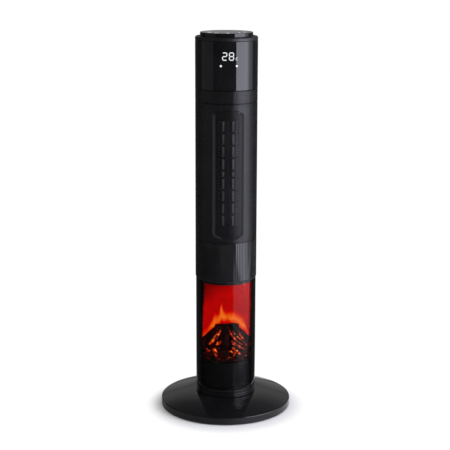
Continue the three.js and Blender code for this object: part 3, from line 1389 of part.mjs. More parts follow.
// Shoulder ring and the raised control cap with its five keys
const SHOULDER_CHAMFER = 1.8;
const CAP_GAP = 0.7;
const LEDGE = 4.5;
const LEDGE_THICKNESS = 1.4;
const CAP_TOP_WALL = 2.4;
const KEYS = 5;
const KEY_INSET = 16.3;
const KEY_CIRCLE = CAP_RADIUS - KEY_INSET;
const KEY_SPREAD = degrees(36);
const KEY_RADIUS = 5.1;
const KEY_FLANGE_RADIUS = 6.3;
const KEY_FLANGE_HEIGHT = 2.2;
const KEY_CLEARANCE = 0.3;
const KEY_TRAVEL = 0.8;
const SWITCH_CLEARANCE = 0.1;
const CONTROL_BOARD_INSET = 6.3;
const CONTROL_BOARD_RADIUS = CAP_RADIUS - CONTROL_BOARD_INSET;
const CONTROL_BOARD_RISE = 5.4;
const CONTROL_BOARD_Z = SHOULDER_Z + CONTROL_BOARD_RISE;
const CAP_Z = SHOULDER_Z + LEDGE_THICKNESS + SEAT;
const KEY_FLANGE_TOP = TOP_Z - CAP_TOP_WALL - SEAT;
const CONTROL_BOARD_TOP = CONTROL_BOARD_Z + BOARD_THICKNESS;
const CAP_WALL = 2.4;
const CAP_EDGE = 0.5;
const SWITCH_HALF_SIZE = 3;
const CAP_POST_RADIUS = 3;
const CAP_POST_INSET = 12.3;
const CAP_POST_CIRCLE = CAP_RADIUS - CAP_POST_INSET;
const CAP_POSTS = 4;
const CAP_POST_START = degrees(5);
const CAP_POST_SWEEP = degrees(170);

function keyAngle(i) {
  return FRONT + (i - (KEYS - 1) / 2) * KEY_SPREAD;
}

function shoulderRing() {
  const inner = CAP_RADIUS + CAP_GAP;
  return turned([
    [inner - LEDGE, SHOULDER_Z],
    [COLUMN_RADIUS, SHOULDER_Z],
    [COLUMN_RADIUS, SHOULDER_TOP - SHOULDER_CHAMFER],
    [COLUMN_RADIUS - SHOULDER_CHAMFER, SHOULDER_TOP],
    [inner, SHOULDER_TOP],
    [inner, SHOULDER_Z + LEDGE_THICKNESS],
    [inner - LEDGE, SHOULDER_Z + LEDGE_THICKNESS],
  ], COLUMN_SIDES);
}

function topCap() {
  const underside = TOP_Z - CAP_TOP_WALL;
  const shell = turned([
    [0, underside],
    [CAP_RADIUS - CAP_WALL, underside],
    [CAP_RADIUS - CAP_WALL, CAP_Z],
    [CAP_RADIUS, CAP_Z],
    [CAP_RADIUS, TOP_Z - CAP_EDGE],
    [CAP_RADIUS - CAP_EDGE, TOP_Z],
    [0, TOP_Z],
  ], COLUMN_SIDES);
  const posts = Array.from({ length: CAP_POSTS }, (_, i) => {
    const angle = CAP_POST_START + CAP_POST_SWEEP * i / (CAP_POSTS - 1);
    const post = rod(CAP_POST_RADIUS, CONTROL_BOARD_TOP + SEAT, underside + CAP_TOP_WALL / 2, SMALL_SIDES);
    return moved(post, ...at(CAP_POST_CIRCLE, angle), 0);
  });
  const holes = Array.from({ length: KEYS }, (_, i) => {
    const hole = rod(KEY_RADIUS + KEY_CLEARANCE, underside - OVERRUN, TOP_Z + OVERRUN, SMALL_SIDES);
    return moved(hole, ...at(KEY_CIRCLE, keyAngle(i)), 0);
  });
  return cut(joined(shell, ...posts), ...holes);
}

function key() {
  const flangeBottom = KEY_FLANGE_TOP - KEY_FLANGE_HEIGHT;
  return turned([
    [0, flangeBottom],
    [KEY_FLANGE_RADIUS, flangeBottom],
    [KEY_FLANGE_RADIUS, KEY_FLANGE_TOP],
    [KEY_RADIUS, KEY_FLANGE_TOP],
    [KEY_RADIUS, TOP_Z],
    [0, TOP_Z],
  ], SMALL_SIDES);
}

function controlBoard() {
  const switchTop = KEY_FLANGE_TOP - KEY_FLANGE_HEIGHT - KEY_TRAVEL - SWITCH_CLEARANCE;
  const board = rod(CONTROL_BOARD_RADIUS, CONTROL_BOARD_Z, CONTROL_BOARD_TOP, COLUMN_SIDES);
  const switches = Array.from({ length: KEYS }, (_, i) => {
    const low = CONTROL_BOARD_TOP - BOARD_THICKNESS / 2;
    const half = SWITCH_HALF_SIZE;
    const body = box(-half, half, -half, half, low, switchTop);
    return moved(body, ...at(KEY_CIRCLE, keyAngle(i)), 0);
  });
  return joined(board, ...switches);
}

add('upper_band', upperBand(), satinBlack);
add('head_shell', headShell(), glossBlack);
add('display_module', displayModule(), circuitGreen);
add('shoulder_ring', shoulderRing(), glossBlack);
add('top_cap', topCap(), glossBlack);
for (let i = 0; i < KEYS; i += 1) {
  add(`key_${i + 1}`, moved(key(), ...at(KEY_CIRCLE, keyAngle(i)), 0), glossBlack);
}
add('control_board', controlBoard(), circuitGreen);

export default heater;
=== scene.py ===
from math import asin, cos, hypot, pi, radians, sin, sqrt, tau

import bmesh
import bpy
from mathutils import Matrix, Vector, noise


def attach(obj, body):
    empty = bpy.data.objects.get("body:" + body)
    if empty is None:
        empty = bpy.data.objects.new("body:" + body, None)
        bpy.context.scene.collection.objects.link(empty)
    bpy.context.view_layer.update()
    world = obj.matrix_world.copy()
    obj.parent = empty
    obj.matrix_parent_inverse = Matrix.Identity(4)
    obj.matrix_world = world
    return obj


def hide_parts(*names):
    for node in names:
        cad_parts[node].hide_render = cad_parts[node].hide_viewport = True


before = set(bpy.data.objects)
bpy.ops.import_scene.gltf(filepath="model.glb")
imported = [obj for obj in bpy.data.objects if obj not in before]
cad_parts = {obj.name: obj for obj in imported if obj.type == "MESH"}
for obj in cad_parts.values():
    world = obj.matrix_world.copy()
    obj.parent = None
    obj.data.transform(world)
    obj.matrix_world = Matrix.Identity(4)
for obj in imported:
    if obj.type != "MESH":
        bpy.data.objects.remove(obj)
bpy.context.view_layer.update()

# Camera. A long lens stands two and a half metres in front of the heater, a little above its
# cap and a few degrees to its left, and looks down on it, as in the photograph.
CAMERA_DISTANCE = 2.560
CAMERA_HEIGHT = 0.977
CAMERA_SIDE = radians(4.5)
CAMERA_AIM = radians(0.048)
CAMERA_TILT = radians(12.8)
CAMERA_ROLL = radians(0.16)


def placed(name, data):
    made = bpy.data.objects.new(name, data)
    bpy.context.scene.collection.objects.link(made)
    return made


camera_data = bpy.data.cameras.new("photo_camera")
camera_data.lens = 99.4
camera_data.sensor_width = 36
camera = placed("photo_camera", camera_data)
camera_place = Matrix.Translation((
    -CAMERA_DISTANCE * sin(CAMERA_SIDE),
    -CAMERA_DISTANCE * cos(CAMERA_SIDE),
    CAMERA_HEIGHT,
))
camera_turn = Matrix.Rotation(CAMERA_AIM - CAMERA_SIDE, 4, "Z")
camera_tip = Matrix.Rotation(radians(90) - CAMERA_TILT, 4, "X")
camera.matrix_world = camera_place @ camera_turn @ camera_tip @ Matrix.Rotation(CAMERA_ROLL, 4, "Z")
bpy.context.scene.camera = camera
bpy.context.scene.view_settings.view_transform = "Standard"

# Studio. A tall soft box and a low panel stand at the right of the heater, a dim panel at its
# left and a broad lamp overhead; the floor is a pale sheet, and the space behind it is white.
FLOOR_SIDES = 48
FLOOR_DROP = 0.0002
RIM_SIDES = 96
RIM_REACHES = (0.134, 0.150, 0.168, 0.188)
RIM_BACK_HALF = 0.145


def feed(node, inputs):
    """Sets each input of a node to a plain value, or links it to another node's output."""
    for name, value in inputs.items():
        if isinstance(value, bpy.types.NodeSocket):
            node.id_data.links.new(value, node.inputs[name])
        else:
            node.inputs[name].default_value = value


def add(tree, kind, inputs=None, **settings):
    node = tree.nodes.new(kind)
    for name, value in settings.items():
        setattr(node, name, value)
    feed(node, inputs or {})
    return node


def reckon(operation, *values):
    return add(values[0].id_data, "ShaderNodeMath", dict(enumerate(values)), operation=operation).outputs[0]


def times(value, by):
    return reckon("MULTIPLY", value, by)


def scaled(value, by, plus):
    return reckon("MULTIPLY_ADD", value, by, plus)


def between(share, first, second):
    return add(share.id_data, "ShaderNodeMix", {0: share, 2: first, 3: second}, data_type="FLOAT").outputs[0]


def spread(value, low, high, start=0.0, end=1.0, slope="SMOOTHSTEP"):
    inputs = {"Value": value, "From Min": low, "From Max": high, "To Min": start, "To Max": end}
    return add(value.id_data, "ShaderNodeMapRange", inputs, interpolation_type=slope).outputs["Result"]


def ramp(factor, stops):
    node = add(factor.id_data, "ShaderNodeValToRGB", {0: factor})
    marks = node.color_ramp.elements
    while len(marks) < len(stops):
        marks.new(0.5)
    for mark, (position, colour) in zip(marks, stops):
        mark.position = position
        mark.color = (*colour, 1) if isinstance(colour, tuple) else (colour, colour, colour, 1)
    return node.outputs[0]


def place_of(tree):
    return add(tree, "ShaderNodeTexCoord").outputs["Object"]


def split(vector):
    return add(vector.id_data, "ShaderNodeSeparateXYZ", {0: vector}).outputs


def length_of(vector):
    return add(vector.id_data, "ShaderNodeVectorMath", {0: vector}, operation="LENGTH").outputs["Value"]


def blank(name):
    material = bpy.data.materials.new(name)
    material.use_nodes = True
    tree = material.node_tree
    return material, tree, tree.nodes["Principled BSDF"]


def on_circle(radius, angle):
    return radius * cos(angle), radius * sin(angle)


def net(rows, columns, closed=True):
    """Four-sided faces over rows of points, each row closed into a ring or not."""
    faces = []
    for row in range(rows - 1):
        for column in range(columns if closed else columns - 1):
            a = row * columns + column
            b = row * columns + (column + 1) % columns
            faces.append((a, b, b + columns, a + columns))
    return faces


def lamp(name, direction, distance, centre_z, width, height, radiance, fade, axis="X"):
    data = bpy.data.lights.new(name, "AREA")
    data.shape = "RECTANGLE"
    data.size = width
    data.size_y = height
    data.energy = radiance * pi * width * height
    light = placed(name, data)
    out = Vector((sin(direction), -cos(direction), 0))
    light.location = out * distance + Vector((0, 0, centre_z))
    light.rotation_euler = out.to_track_quat("Z", "Y").to_euler()
    if fade:
        data.use_nodes = True
        across = add(data.node_tree, "ShaderNodeNewGeometry").outputs["Parametric"]
        feed(data.node_tree.nodes["Emission"], {"Color": ramp(split(across)[axis], fade)})
    return light


soft_box = lamp("right_soft_box", radians(69), 1.5, 0.812, 2.34, 1.876, 4.4,
                ((0.0, 1.0), (0.55, 0.95), (0.70, 0.30), (1.0, 0.06)))
soft_box.data.color = (0.93, 0.94, 1.08)
low_box = lamp("right_low_panel", radians(61), 1.5, -0.488, 2.34, 0.724, 1.3,
               ((0.0, 0.05), (0.575, 0.08), (0.642, 0.68), (0.752, 0.75), (0.885, 1.0), (1.0, 1.3)), "Y")
low_box.data.color = (0.96, 0.96, 1.05)
lamp("left_panel", radians(-79), 1.5, 0.9, 1.46, 1.8, 0.14, None)
top_lamp = lamp("top_lamp", 0, 0, 2.3, 1.8, 1.8, 1.0, None)
top_lamp.rotation_euler = (0, 0, 0)
top_lamp.visible_glossy = False

world = bpy.data.worlds.new("studio")
bpy.context.scene.world = world
world.use_nodes = True
sky = world.node_tree
sky_path = add(sky, "ShaderNodeLightPath").outputs
sky_way = split(add(sky, "ShaderNodeTexCoord").outputs["Generated"])
away = scaled(sky_way["Y"], 0.5, 0.5)
behind = ramp(scaled(sky_way["X"], 0.2, away),
              ((0.74, 0.0), (0.81, 0.6), (0.87, 0.8), (0.90, 1.0)))
above = ramp(scaled(sky_way["Z"], 0.5, 0.5), (
    (0.46, 0.04), (0.475, 0.10), (0.49, 0.23), (0.53, 0.32), (0.57, 0.30), (0.618, 0.28), (0.634, 0.21),
    (0.652, 0.30), (0.69, 0.31), (0.725, 0.28), (0.76, 0.22), (0.80, 0.15), (0.85, 0.11), (0.90, 0.09)))
mirrored = between(behind, 0.038, above)
shown = reckon("MAXIMUM", sky_path["Is Camera Ray"], sky_path["Is Transmission Ray"])
plain = between(shown, 0.45, 1.0)
level = between(sky_path["Is Glossy Ray"], plain, mirrored)
feed(sky.nodes["Background"], {"Strength": level, "Color": (1, 1, 1, 1)})
world.cycles.sampling_method = "NONE"


def sheet(name, points, faces, material):
    """A piece of the floor, which casts no shadow of its own."""
    mesh = bpy.data.meshes.new(name)
    mesh.from_pydata(points, [], faces)
    mesh.materials.append(material)
    made = placed(name, mesh)
    made.location.z = -FLOOR_DROP
    made.visible_shadow = False
    return made


def matt_sheet(name):
    material, tree, usual = blank(name)
    tree.nodes.remove(usual)
    return material, tree, add(tree, "ShaderNodeBsdfDiffuse")


paper, tree, matt = matt_sheet("floor_paper")
matt.inputs["Color"].default_value = (0.87, 0.87, 0.86, 1)
white = add(tree, "ShaderNodeEmission", {"Strength": 1.03})
paper_path = add(tree, "ShaderNodeLightPath").outputs
shown = reckon("MAXIMUM", paper_path["Is Camera Ray"], paper_path["Is Transmission Ray"])
shift = add(tree, "ShaderNodeVectorMath", {0: place_of(tree), 1: (0.0, 0.012, 0.0)})
far = spread(length_of(shift.outputs[0]), 0.137, 0.180)
share = times(shown, far)
blend = add(tree, "ShaderNodeMixShader", {0: share, 1: matt.outputs[0], 2: white.outputs[0]})
feed(tree.nodes["Material Output"], {"Surface": blend.outputs[0]})
floor_rings = [0.2 * 1.5 ** ring for ring in range(10)]
floor_turns = [tau * side / FLOOR_SIDES for side in range(FLOOR_SIDES)]
floor_points = [(*on_circle(reach, turn), 0.0) for reach in floor_rings for turn in floor_turns]
middle = len(floor_points)
floor_points.append((0.0, 0.0, 0.0))
floor_faces = [face[::-1] for face in net(len(floor_rings), FLOOR_SIDES)]
floor_faces += [(middle, side, (side + 1) % FLOOR_SIDES) for side in range(FLOOR_SIDES)]
floor = sheet("floor", floor_points, floor_faces, paper)
floor.visible_glossy = False

# A strip of floor round the rim that only reflections see. Its colour is painted light: dark at the left, a
# painted shade, and bright at the right, a painted pool of light.
strip_points = []
for reach in RIM_REACHES:
    for side in range(RIM_SIDES):
        angle = tau * side / RIM_SIDES
        out = reach + 5 * (reach - RIM_REACHES[0]) * min(max(0.0, 3 * sin(angle)), 1.0)
        out = max(reach, min(out, RIM_BACK_HALF / max(abs(cos(angle)), 0.01)))
        strip_points.append((*on_circle(out, angle), 0.0))
shade, tree, matt = matt_sheet("floor_by_the_rim")
to_the_right = scaled(split(place_of(tree))["X"], 2.5, 0.5)
feed(matt, {"Color": ramp(to_the_right, ((0.45, 0.34), (0.62, 0.90)))})
feed(tree.nodes["Material Output"], {"Surface": matt.outputs[0]})
strip = sheet("floor_by_the_rim", strip_points, net(len(RIM_REACHES), RIM_SIDES), shade)
strip.visible_camera = False
strip.visible_diffuse = False
strip.visible_transmission = False

# Base cover. One low dome of gloss black ABS, injection moulded and polished, with a round
# upright rim. It carries the column on its flat hub and hides the ballast under it.
MM = 0.001
BASE_RADIUS = 138.7
BASE_BOTTOM = 1.5
BASE_WALL = 2.8
RIM_TOP = 16.2
HUB_TOP = 32.0
HUB_RADIUS = 66.0
HUB_OPENING = 58.0
DOME_STEPS = 28
GLAND_Z = 8.6
GLAND_HOLE = 4.6


def cloud(tree, scale, detail=5, stretch=None):
    place = place_of(tree)
    if stretch:
        place = add(tree, "ShaderNodeMapping", {"Vector": place, "Scale": stretch}).outputs[0]
    return add(tree, "ShaderNodeTexNoise", {"Vector": place, "Scale": scale, "Detail": detail}).outputs["Fac"]


def span(value, low, high):
    return spread(value, 0.3, 0.7, low, high, "LINEAR")


def press(shader, height, depth):
    """Raises and sinks a finish by a height, as far as a depth in millimetres."""
    bump = add(shader.id_data, "ShaderNodeBump", {"Strength": 1.0, "Distance": depth * MM, "Height": height})
    feed(shader, {"Normal": bump.outputs[0]})


def plastic(name, dark, light, low, high, grain, depth):
    material, tree, shader = blank(name)
    feed(shader, {
        "Base Color": ramp(cloud(tree, 22, 4), ((0.3, dark), (0.7, light))),
        "Roughness": span(cloud(tree, 60, 8), low, high),
    })
    press(shader, cloud(tree, grain, 4), depth)
    return material


def soften(corners, steps=5):
    """Rounds the corners of a closed outline; each corner is (across, up, radius)."""
    out = []
    count = len(corners)
    for i, (across, up, radius) in enumerate(corners):
        here = Vector((across, up))
        before = Vector(corners[i - 1][:2]) - here
        after = Vector(corners[(i + 1) % count][:2]) - here
        reach = min(radius, 0.48 * before.length, 0.48 * after.length)
        if reach < 0.01:
            out.append((across, up))
            continue
        first = here + before.normalized() * reach
        last = here + after.normalized() * reach
        for step in range(steps + 1):
            t = step / steps
            out.append(tuple(first * (1 - t) ** 2 + here * 2 * t * (1 - t) + last * t ** 2))
    return out


def rounded(left, right, low, high, radii=(0, 0, 0, 0), steps=4):
    """A rectangle; its radii run from the lower left corner round to the upper left one."""
    corners = ((left, low), (right, low), (right, high), (left, high))
    return soften([(*corner, radius) for corner, radius in zip(corners, radii)], steps)


def brace(outline):
    """Adds a point near each end of a straight stretch, so that it shades flat."""
    out = []
    for here, after in zip(outline, outline[1:] + outline[:1]):
        out.append(here)
        here = Vector(here)
        after = Vector(after)
        length = (after - here).length
        for near, far in ((here, after), (after, here)):
            if length > 3.0 and near.x > 1.0:
                out.append(tuple(near.lerp(far, 0.4 / length)))
    return out


def lathe(outline, sides, start=0.0, turn=tau):
    """Turns an outline of (radius, height) round the axis, all the way or part of it."""
    full = turn > tau - 0.0001
    columns = sides if full else sides + 1
    points = []
    rows = []
    for radius, z in brace(outline):
        if radius < 0.0001:
            rows.append([len(points)] * columns)
            points.append((0, 0, z))
            continue
        rows.append([len(points) + i for i in range(columns)])
        points += [(*on_circle(radius, start + turn * i / sides), z) for i in range(columns)]
    faces = []
    for low, high in zip(rows, rows[1:] + rows[:1]):
        for i in range(sides):
            j = (i + 1) % columns
            ring = list(dict.fromkeys((low[i], low[j], high[j], high[i])))
            if len(ring) > 2:
                faces.append(ring)
    if not full:
        faces.append([row[0] for row in rows])
        faces.append([row[-1] for row in reversed(rows)])
    return points, faces


def plug(radius, low, high, sides):
    return lathe(rounded(0, radius, low, high), sides)


def about_y(part, z):
    """Lays a turned part down, so that its axis runs backwards at a height."""
    points, faces = part
    return [(a, c, z + b) for a, b, c in points], faces


def smooth(mesh, crease):
    mesh.shade_smooth()
    mesh.set_sharp_from_angle(angle=radians(crease))


def shape(name, points, faces, *materials, crease=35):
    """Makes a mesh object from points in millimetres, with its faces turned outwards."""
    mesh = bpy.data.meshes.new(name)
    mesh.from_pydata([(x * MM, y * MM, z * MM) for x, y, z in points], [], faces)
    for material in materials:
        mesh.materials.append(material)
    work = bmesh.new()
    work.from_mesh(mesh)
    bmesh.ops.recalc_face_normals(work, faces=work.faces)
    work.to_mesh(mesh)
    work.free()
    smooth(mesh, crease)
    return placed(name, mesh)


def carve(target, tool, operation="DIFFERENCE", crease=35):
    """Cuts the tool out of the target, or keeps what they share, and removes the tool."""
    change = target.modifiers.new("carve", "BOOLEAN")
    change.object = tool
    change.operation = operation
    change.solver = "EXACT"
    change.material_mode = "TRANSFER"
    seen = target.evaluated_get(bpy.context.evaluated_depsgraph_get())
    settled = bpy.data.meshes.new_from_object(seen)
    target.modifiers.clear()
    target.data = settled
    smooth(settled, crease)
    bpy.data.objects.remove(tool)


def settle(made, body, slot, *nodes):
    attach(made, body)
    if nodes:
        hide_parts(*nodes)


gloss_black = plastic("gloss_black", (0.0045, 0.0045, 0.005), (0.008, 0.008, 0.009), 0.035, 0.075, 340, 0.004)
dome = []
for step in range(DOME_STEPS + 1):
    share = step / DOME_STEPS
    reach = HUB_RADIUS + (BASE_RADIUS - HUB_RADIUS) * share
    dome.append((reach, HUB_TOP - (HUB_TOP - RIM_TOP) * share ** 1.5))
cover_outline = [(HUB_OPENING, HUB_TOP), *dome[:-1]]
cover_outline += soften([dome[-3] + (0,), (BASE_RADIUS, RIM_TOP, 1.3), (BASE_RADIUS, BASE_BOTTOM, 0.8),
                         (BASE_RADIUS - BASE_WALL, BASE_BOTTOM, 0.4)], 7)[1:]
cover_outline += [(reach - BASE_WALL, z - BASE_WALL) for reach, z in reversed(dome[2:])]
cover_outline += [(HUB_OPENING, HUB_TOP - BASE_WALL)]
base_cover = shape("base_dome", *lathe(cover_outline, 224), gloss_black, crease=30)
carve(base_cover, shape("gland_hole", *about_y(plug(GLAND_HOLE, 120, 150, 32), GLAND_Z)), crease=30)
settle(base_cover, "base", "gloss_black", "base_cover")

# Bottom plate, ballast and their screws. The plate is a black polypropylene disc with ribs;
# a cast-iron ring lies on it, and four cross-head steel screws hold it to bosses in the dome.
RIBS = (30.0, 58.0, 84.0, 126.0)
SCREW_CIRCLE = 92.0
CROSS_LONG = 1.9
CROSS_THICK = 0.32


def dress(material, *nodes):
    """Gives its finish to each CAD piece that shows as it is."""
    for node in nodes:
        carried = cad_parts[node]
        if not carried.material_slots:
            carried.data.materials.append(material)
        for place in carried.material_slots:
            place.link = "OBJECT"
            place.material = material


def metal(name, dark, light, low, high, grain, stretch):
    material, tree, shader = blank(name)
    fine = cloud(tree, grain, 6, stretch)
    feed(shader, {
        "Metallic": 1.0,
        "Base Color": ramp(fine, ((0.25, dark), (0.75, light))),
        "Roughness": span(fine, low, high),
    })
    press(shader, fine, 0.02)
    return material


def tube_faces(rings, sides):
    caps = [tuple(range(sides - 1, -1, -1)), tuple(range((rings - 1) * sides, rings * sides))]
    return net(rings, sides) + caps


plain_black = plastic("plain_black", (0.012, 0.012, 0.013), (0.020, 0.020, 0.021), 0.42, 0.58, 900, 0.03)
steel = metal("steel", (0.42, 0.42, 0.43), (0.60, 0.60, 0.60), 0.22, 0.4, 180, (1, 1, 6))
cast_iron = metal("cast_iron", (0.10, 0.10, 0.10), (0.20, 0.19, 0.18), 0.6, 0.85, 240, (1, 1, 1))
dress(plain_black, "base_plate")
dress(cast_iron, "base_weight")
for i, rib in enumerate(RIBS):
    corners = ((-0.8, 0.2, 0), (-0.6, -0.5, 0.3), (0.6, -0.5, 0.3), (0.8, 0.2, 0))
    rib_outline = soften([(rib + out, BASE_BOTTOM + up, radius) for out, up, radius in corners], 3)
    settle(shape(f"plate_rib_{i + 1}", *lathe(rib_outline, 96), plain_black), "base", "plain_black")
screw_outline = soften([(0, 1.9, 0), (3.1, 1.9, 0.3), (3.1, 3.0, 0.2), (1.5, 3.5, 0), (1.5, 14.5, 0.2),
                        (0, 14.9, 0)], 3)
for i in range(4):
    screw = shape(f"plate_screw_{i + 1}", *lathe(screw_outline, 24), steel)
    for right, back in ((CROSS_LONG, CROSS_THICK), (CROSS_THICK, CROSS_LONG)):
        corners = []
        for z, share in ((1.0, 1.0), (2.7, 0.7)):
            for x, y in ((-1, -1), (1, -1), (1, 1), (-1, 1)):
                corners.append((x * right * share, y * back * share, z))
        carve(screw, shape("cross", corners, tube_faces(2, 4)))
    screw.data.transform(Matrix.Translation((*on_circle(SCREW_CIRCLE * MM, radians(90 * i)), 0)))
    settle(screw, "base", "steel", f"base_screw_{i + 1}")

# Feet. Four soft black rubber buttons with ringed soles, pushed by their stems into holes in
# the bottom plate; they hold the base a little off the floor.
FOOT_CIRCLE = 118.0


def shifted(part, radius, angle):
    """Moves a part from the axis to its place on a circle."""
    points, faces = part
    right, back = on_circle(radius, angle)
    return [(x + right, y + back, z) for x, y, z in points], faces


rubber_black = plastic("rubber_black", (0.016, 0.016, 0.016), (0.028, 0.028, 0.027), 0.72, 0.9, 700, 0.06)
sole = soften([(0, 0.35, 0), (3.2, 0.35, 0.1), (3.5, 0.0, 0.1), (5.4, 0.0, 0.1), (5.7, 0.35, 0.1),
               (6.4, 0.35, 0.1), (6.7, 0.0, 0.1), (8.6, 0.0, 0.5), (8.95, 1.2, 0.3), (3.0, 1.2, 0),
               (3.0, 5.8, 0.3), (0, 5.8, 0)], 3)
for i in range(4):
    button = shifted(lathe(sole, 40), FOOT_CIRCLE, radians(45 + 90 * i))
    foot = shape(f"foot_button_{i + 1}", *button, rubber_black)
    settle(foot, "base", "rubber_black", f"rubber_foot_{i + 1}")

# Foot ring and swing drive. A gloss black ring in two undercut steps stands on the hub and
# carries the column; in it sit the nylon bush, the thrust ring, the swing motor and its pinion.
LANTERN_RADIUS = 63.4
LANTERN_INNER = 61.0
RING_BOTTOM = 32.3
RING_TOP = 46.0
RING_FLOOR = 35.3
RING_BORE = 15.3
LOWER_STEP = 34.6
UPPER_STEP = 39.6


def matt_paint(name, dark, light, rough, grain):
    return plastic(name, dark, light, rough, rough + 0.12, grain, 0.02)


outside = (
    (1.4, RING_BOTTOM, 0.5), (0, RING_BOTTOM + 1.4, 0.6), (0, LOWER_STEP, 0.3),
    (0.9, LOWER_STEP + 0.3, 0.15), (0, LOWER_STEP + 4, 0.3), (0, UPPER_STEP, 0.3),
    (1.1, UPPER_STEP + 0.3, 0.15), (0, RING_TOP - 0.5, 0.25), (0.6, RING_TOP, 0.25))
ring_outline = [(RING_BORE, RING_BOTTOM, 0.3)]
ring_outline += [(LANTERN_RADIUS - inset, z, radius) for inset, z, radius in outside]
ring_outline += [(LANTERN_INNER, RING_TOP, 0.2), (LANTERN_INNER, RING_FLOOR, 0), (RING_BORE, RING_FLOOR, 0)]
foot_ring = shape("foot_collar", *lathe(soften(ring_outline, 4), 160), gloss_black, crease=28)
settle(foot_ring, "base", "gloss_black", "foot_ring")
pale_nylon = matt_paint("pale_nylon", (0.55, 0.54, 0.50), (0.64, 0.63, 0.58), 0.45, 500)
dress(pale_nylon, "spindle_bush", "thrust_ring", "swing_pinion", "tip_switch_body")
dress(steel, "swing_motor")
dress(plain_black, "tip_switch_plunger")

# Cord gland. A black bushing in the rear of the rim, with a clamp block behind it inside the
# base; the mains lead, which the photograph does not show, would run through its bore.
dress(plain_black, "cord_gland")
flange_outline = soften([(3.3, 138.0, 0.2), (3.3, 138.5, 0.2), (5.6, 138.6, 0.3), (5.9, 137.9, 0.3),
                         (4.4, 137.5, 0)], 3)
flange = about_y(lathe(flange_outline, 40), GLAND_Z)
settle(shape("gland_flange", *flange, plain_black), "base", "plain_black")

# Turntable. A black moulded disc with a hollow spindle turns in the foot ring's bush; the
# nylon ring gear under it meshes with the pinion, and a steel clip keeps the spindle down.
satin_black = plastic("satin_black", (0.005, 0.005, 0.006), (0.009, 0.009, 0.010), 0.18, 0.28, 700, 0.006)
dress(satin_black, "turntable")
dress(pale_nylon, "ring_gear")
dress(steel, "spindle_clip")

# Flame window. A smoked acrylic half tube, printed black along both sides, is slid between the
# turntable and the mid deck; a black shell closes the rear, with a lip behind each joint.
WINDOW_BOTTOM = 48.7
WINDOW_TOP = 284.7
WINDOW_HALF = radians(99.6)
REAR_HALF = radians(79.6)
FRONT = -pi / 2
BORDER_FRONT = -0.035
BORDER_BACK = -0.029
LIP_THICK = 0.9


def smoke(name, cover, edge, rough):
    """Smoked plastic that hides so much from in front, so much at a slant and all at its borders."""
    material, tree, shader = blank(name)
    slanted = add(tree, "ShaderNodeLayerWeight", {"Blend": 0.35}).outputs["Facing"]
    solid = spread(slanted, 0.36, 0.52, cover, edge)
    border = spread(split(place_of(tree))["Y"], BORDER_FRONT, BORDER_BACK, slope="LINEAR")
    feed(shader, {
        "Base Color": (0.002, 0.002, 0.002, 1),
        "Specular IOR Level": 0.47,
        "Roughness": span(cloud(tree, 30, 3), rough, rough + 0.02),
        "Alpha": reckon("MAXIMUM", solid, border),
    })
    press(shader, cloud(tree, 18, 2), 0.02)
    material.surface_render_method = "BLENDED"
    return material


def together(parts):
    points = []
    faces = []
    for more_points, more_faces in parts:
        first = len(points)
        points += more_points
        faces += [tuple(i + first for i in face) for face in more_faces]
    return points, faces


def joint_lips(name, angle, radius, low, high):
    lip_outline = rounded(radius - LIP_THICK, radius, low, high)
    parts = [lathe(lip_outline, 6, FRONT + side * angle - 0.05, 0.1) for side in (-1, 1)]
    settle(shape(name, *together(parts), plain_black), "tower", "plain_black")


smoked_clear = smoke("smoked_clear", 0.42, 1.0, 0.02)
smoked_inside = smoke("smoked_inside", 0.05, 0.3, 0.05)
shell_outline = rounded(LANTERN_INNER, LANTERN_RADIUS, WINDOW_BOTTOM, WINDOW_TOP, (0.2, 0.3, 0.3, 0.2), 2)
front_half = lathe(shell_outline, 160, FRONT - WINDOW_HALF, 2 * WINDOW_HALF)
flame_window = shape("window_lens", *front_half, smoked_clear, smoked_inside)
for face in flame_window.data.polygons:
    if hypot(face.center.x, face.center.y) < (LANTERN_INNER + 0.6) * MM:
        face.material_index = 1
settle(flame_window, "tower", "smoked_clear", "flame_window")
rear_half = lathe(shell_outline, 128, -FRONT - REAR_HALF, 2 * REAR_HALF)
settle(shape("flame_rear_shell", *rear_half, gloss_black), "tower", "gloss_black", "lantern_rear_shell")
joint_angle = (WINDOW_HALF + pi - REAR_HALF) / 2
joint_lips("flame_joint_lips", joint_angle, 60.7, WINDOW_BOTTOM + 0.5, WINDOW_TOP - 0.5)

# Log plinth and light board. The plinth is a black D-shaped box with the lamps under its lid;
# what is lit in the window stands on it.
dress(satin_black, "log_plinth")
circuit_green = matt_paint("circuit_green", (0.01, 0.08, 0.035), (0.015, 0.12, 0.05), 0.35, 400)
dress(circuit_green, "light_board", "power_board", "control_board")

# Flame screen. A frosted sheet behind the logs, lit from below by the lamps through the
# turning rotor: deep red, with orange and yellow flames above the logs.
FLAME_WIDTH = 120
FLAME_LOW = 100
FLAME_REACH = 150
SHEET_HALF = 59
SHEET_BOTTOM = 112
SHEET_TOP = 283
SHEET_FRONT = 5.2
SHEET_BACK = 6.6
flame_light, tree, shader = blank("flame_light")
place = split(place_of(tree))
sway = scaled(cloud(tree, 55, 4, (1, 1, 0.5)), 10 * MM, -5 * MM)
lick = scaled(cloud(tree, 70, 4, (1.6, 1, 0.45)), 18 * MM, -9 * MM)
across = reckon("ADD", place["X"], sway)
column = scaled(across, 1 / (FLAME_WIDTH * MM), 0.5)
raised = reckon("ADD", place["Z"], lick)


def profile(heights):
    """A curve over the window's width: each height is (mm from the axis, mm above the floor)."""
    node = add(tree, "ShaderNodeFloatCurve")
    curve = node.mapping.curves[0]
    curve.points[0].location = (0, 0)
    curve.points[1].location = (1, 0)
    for x, z in heights:
        curve.points.new(x / FLAME_WIDTH + 0.5, (z - FLAME_LOW) / FLAME_REACH)
    node.mapping.update()
    feed(node, {"Value": column})
    return scaled(node.outputs[0], FLAME_REACH * MM, FLAME_LOW * MM)


def less(value, by):
    return reckon("SUBTRACT", value, by)


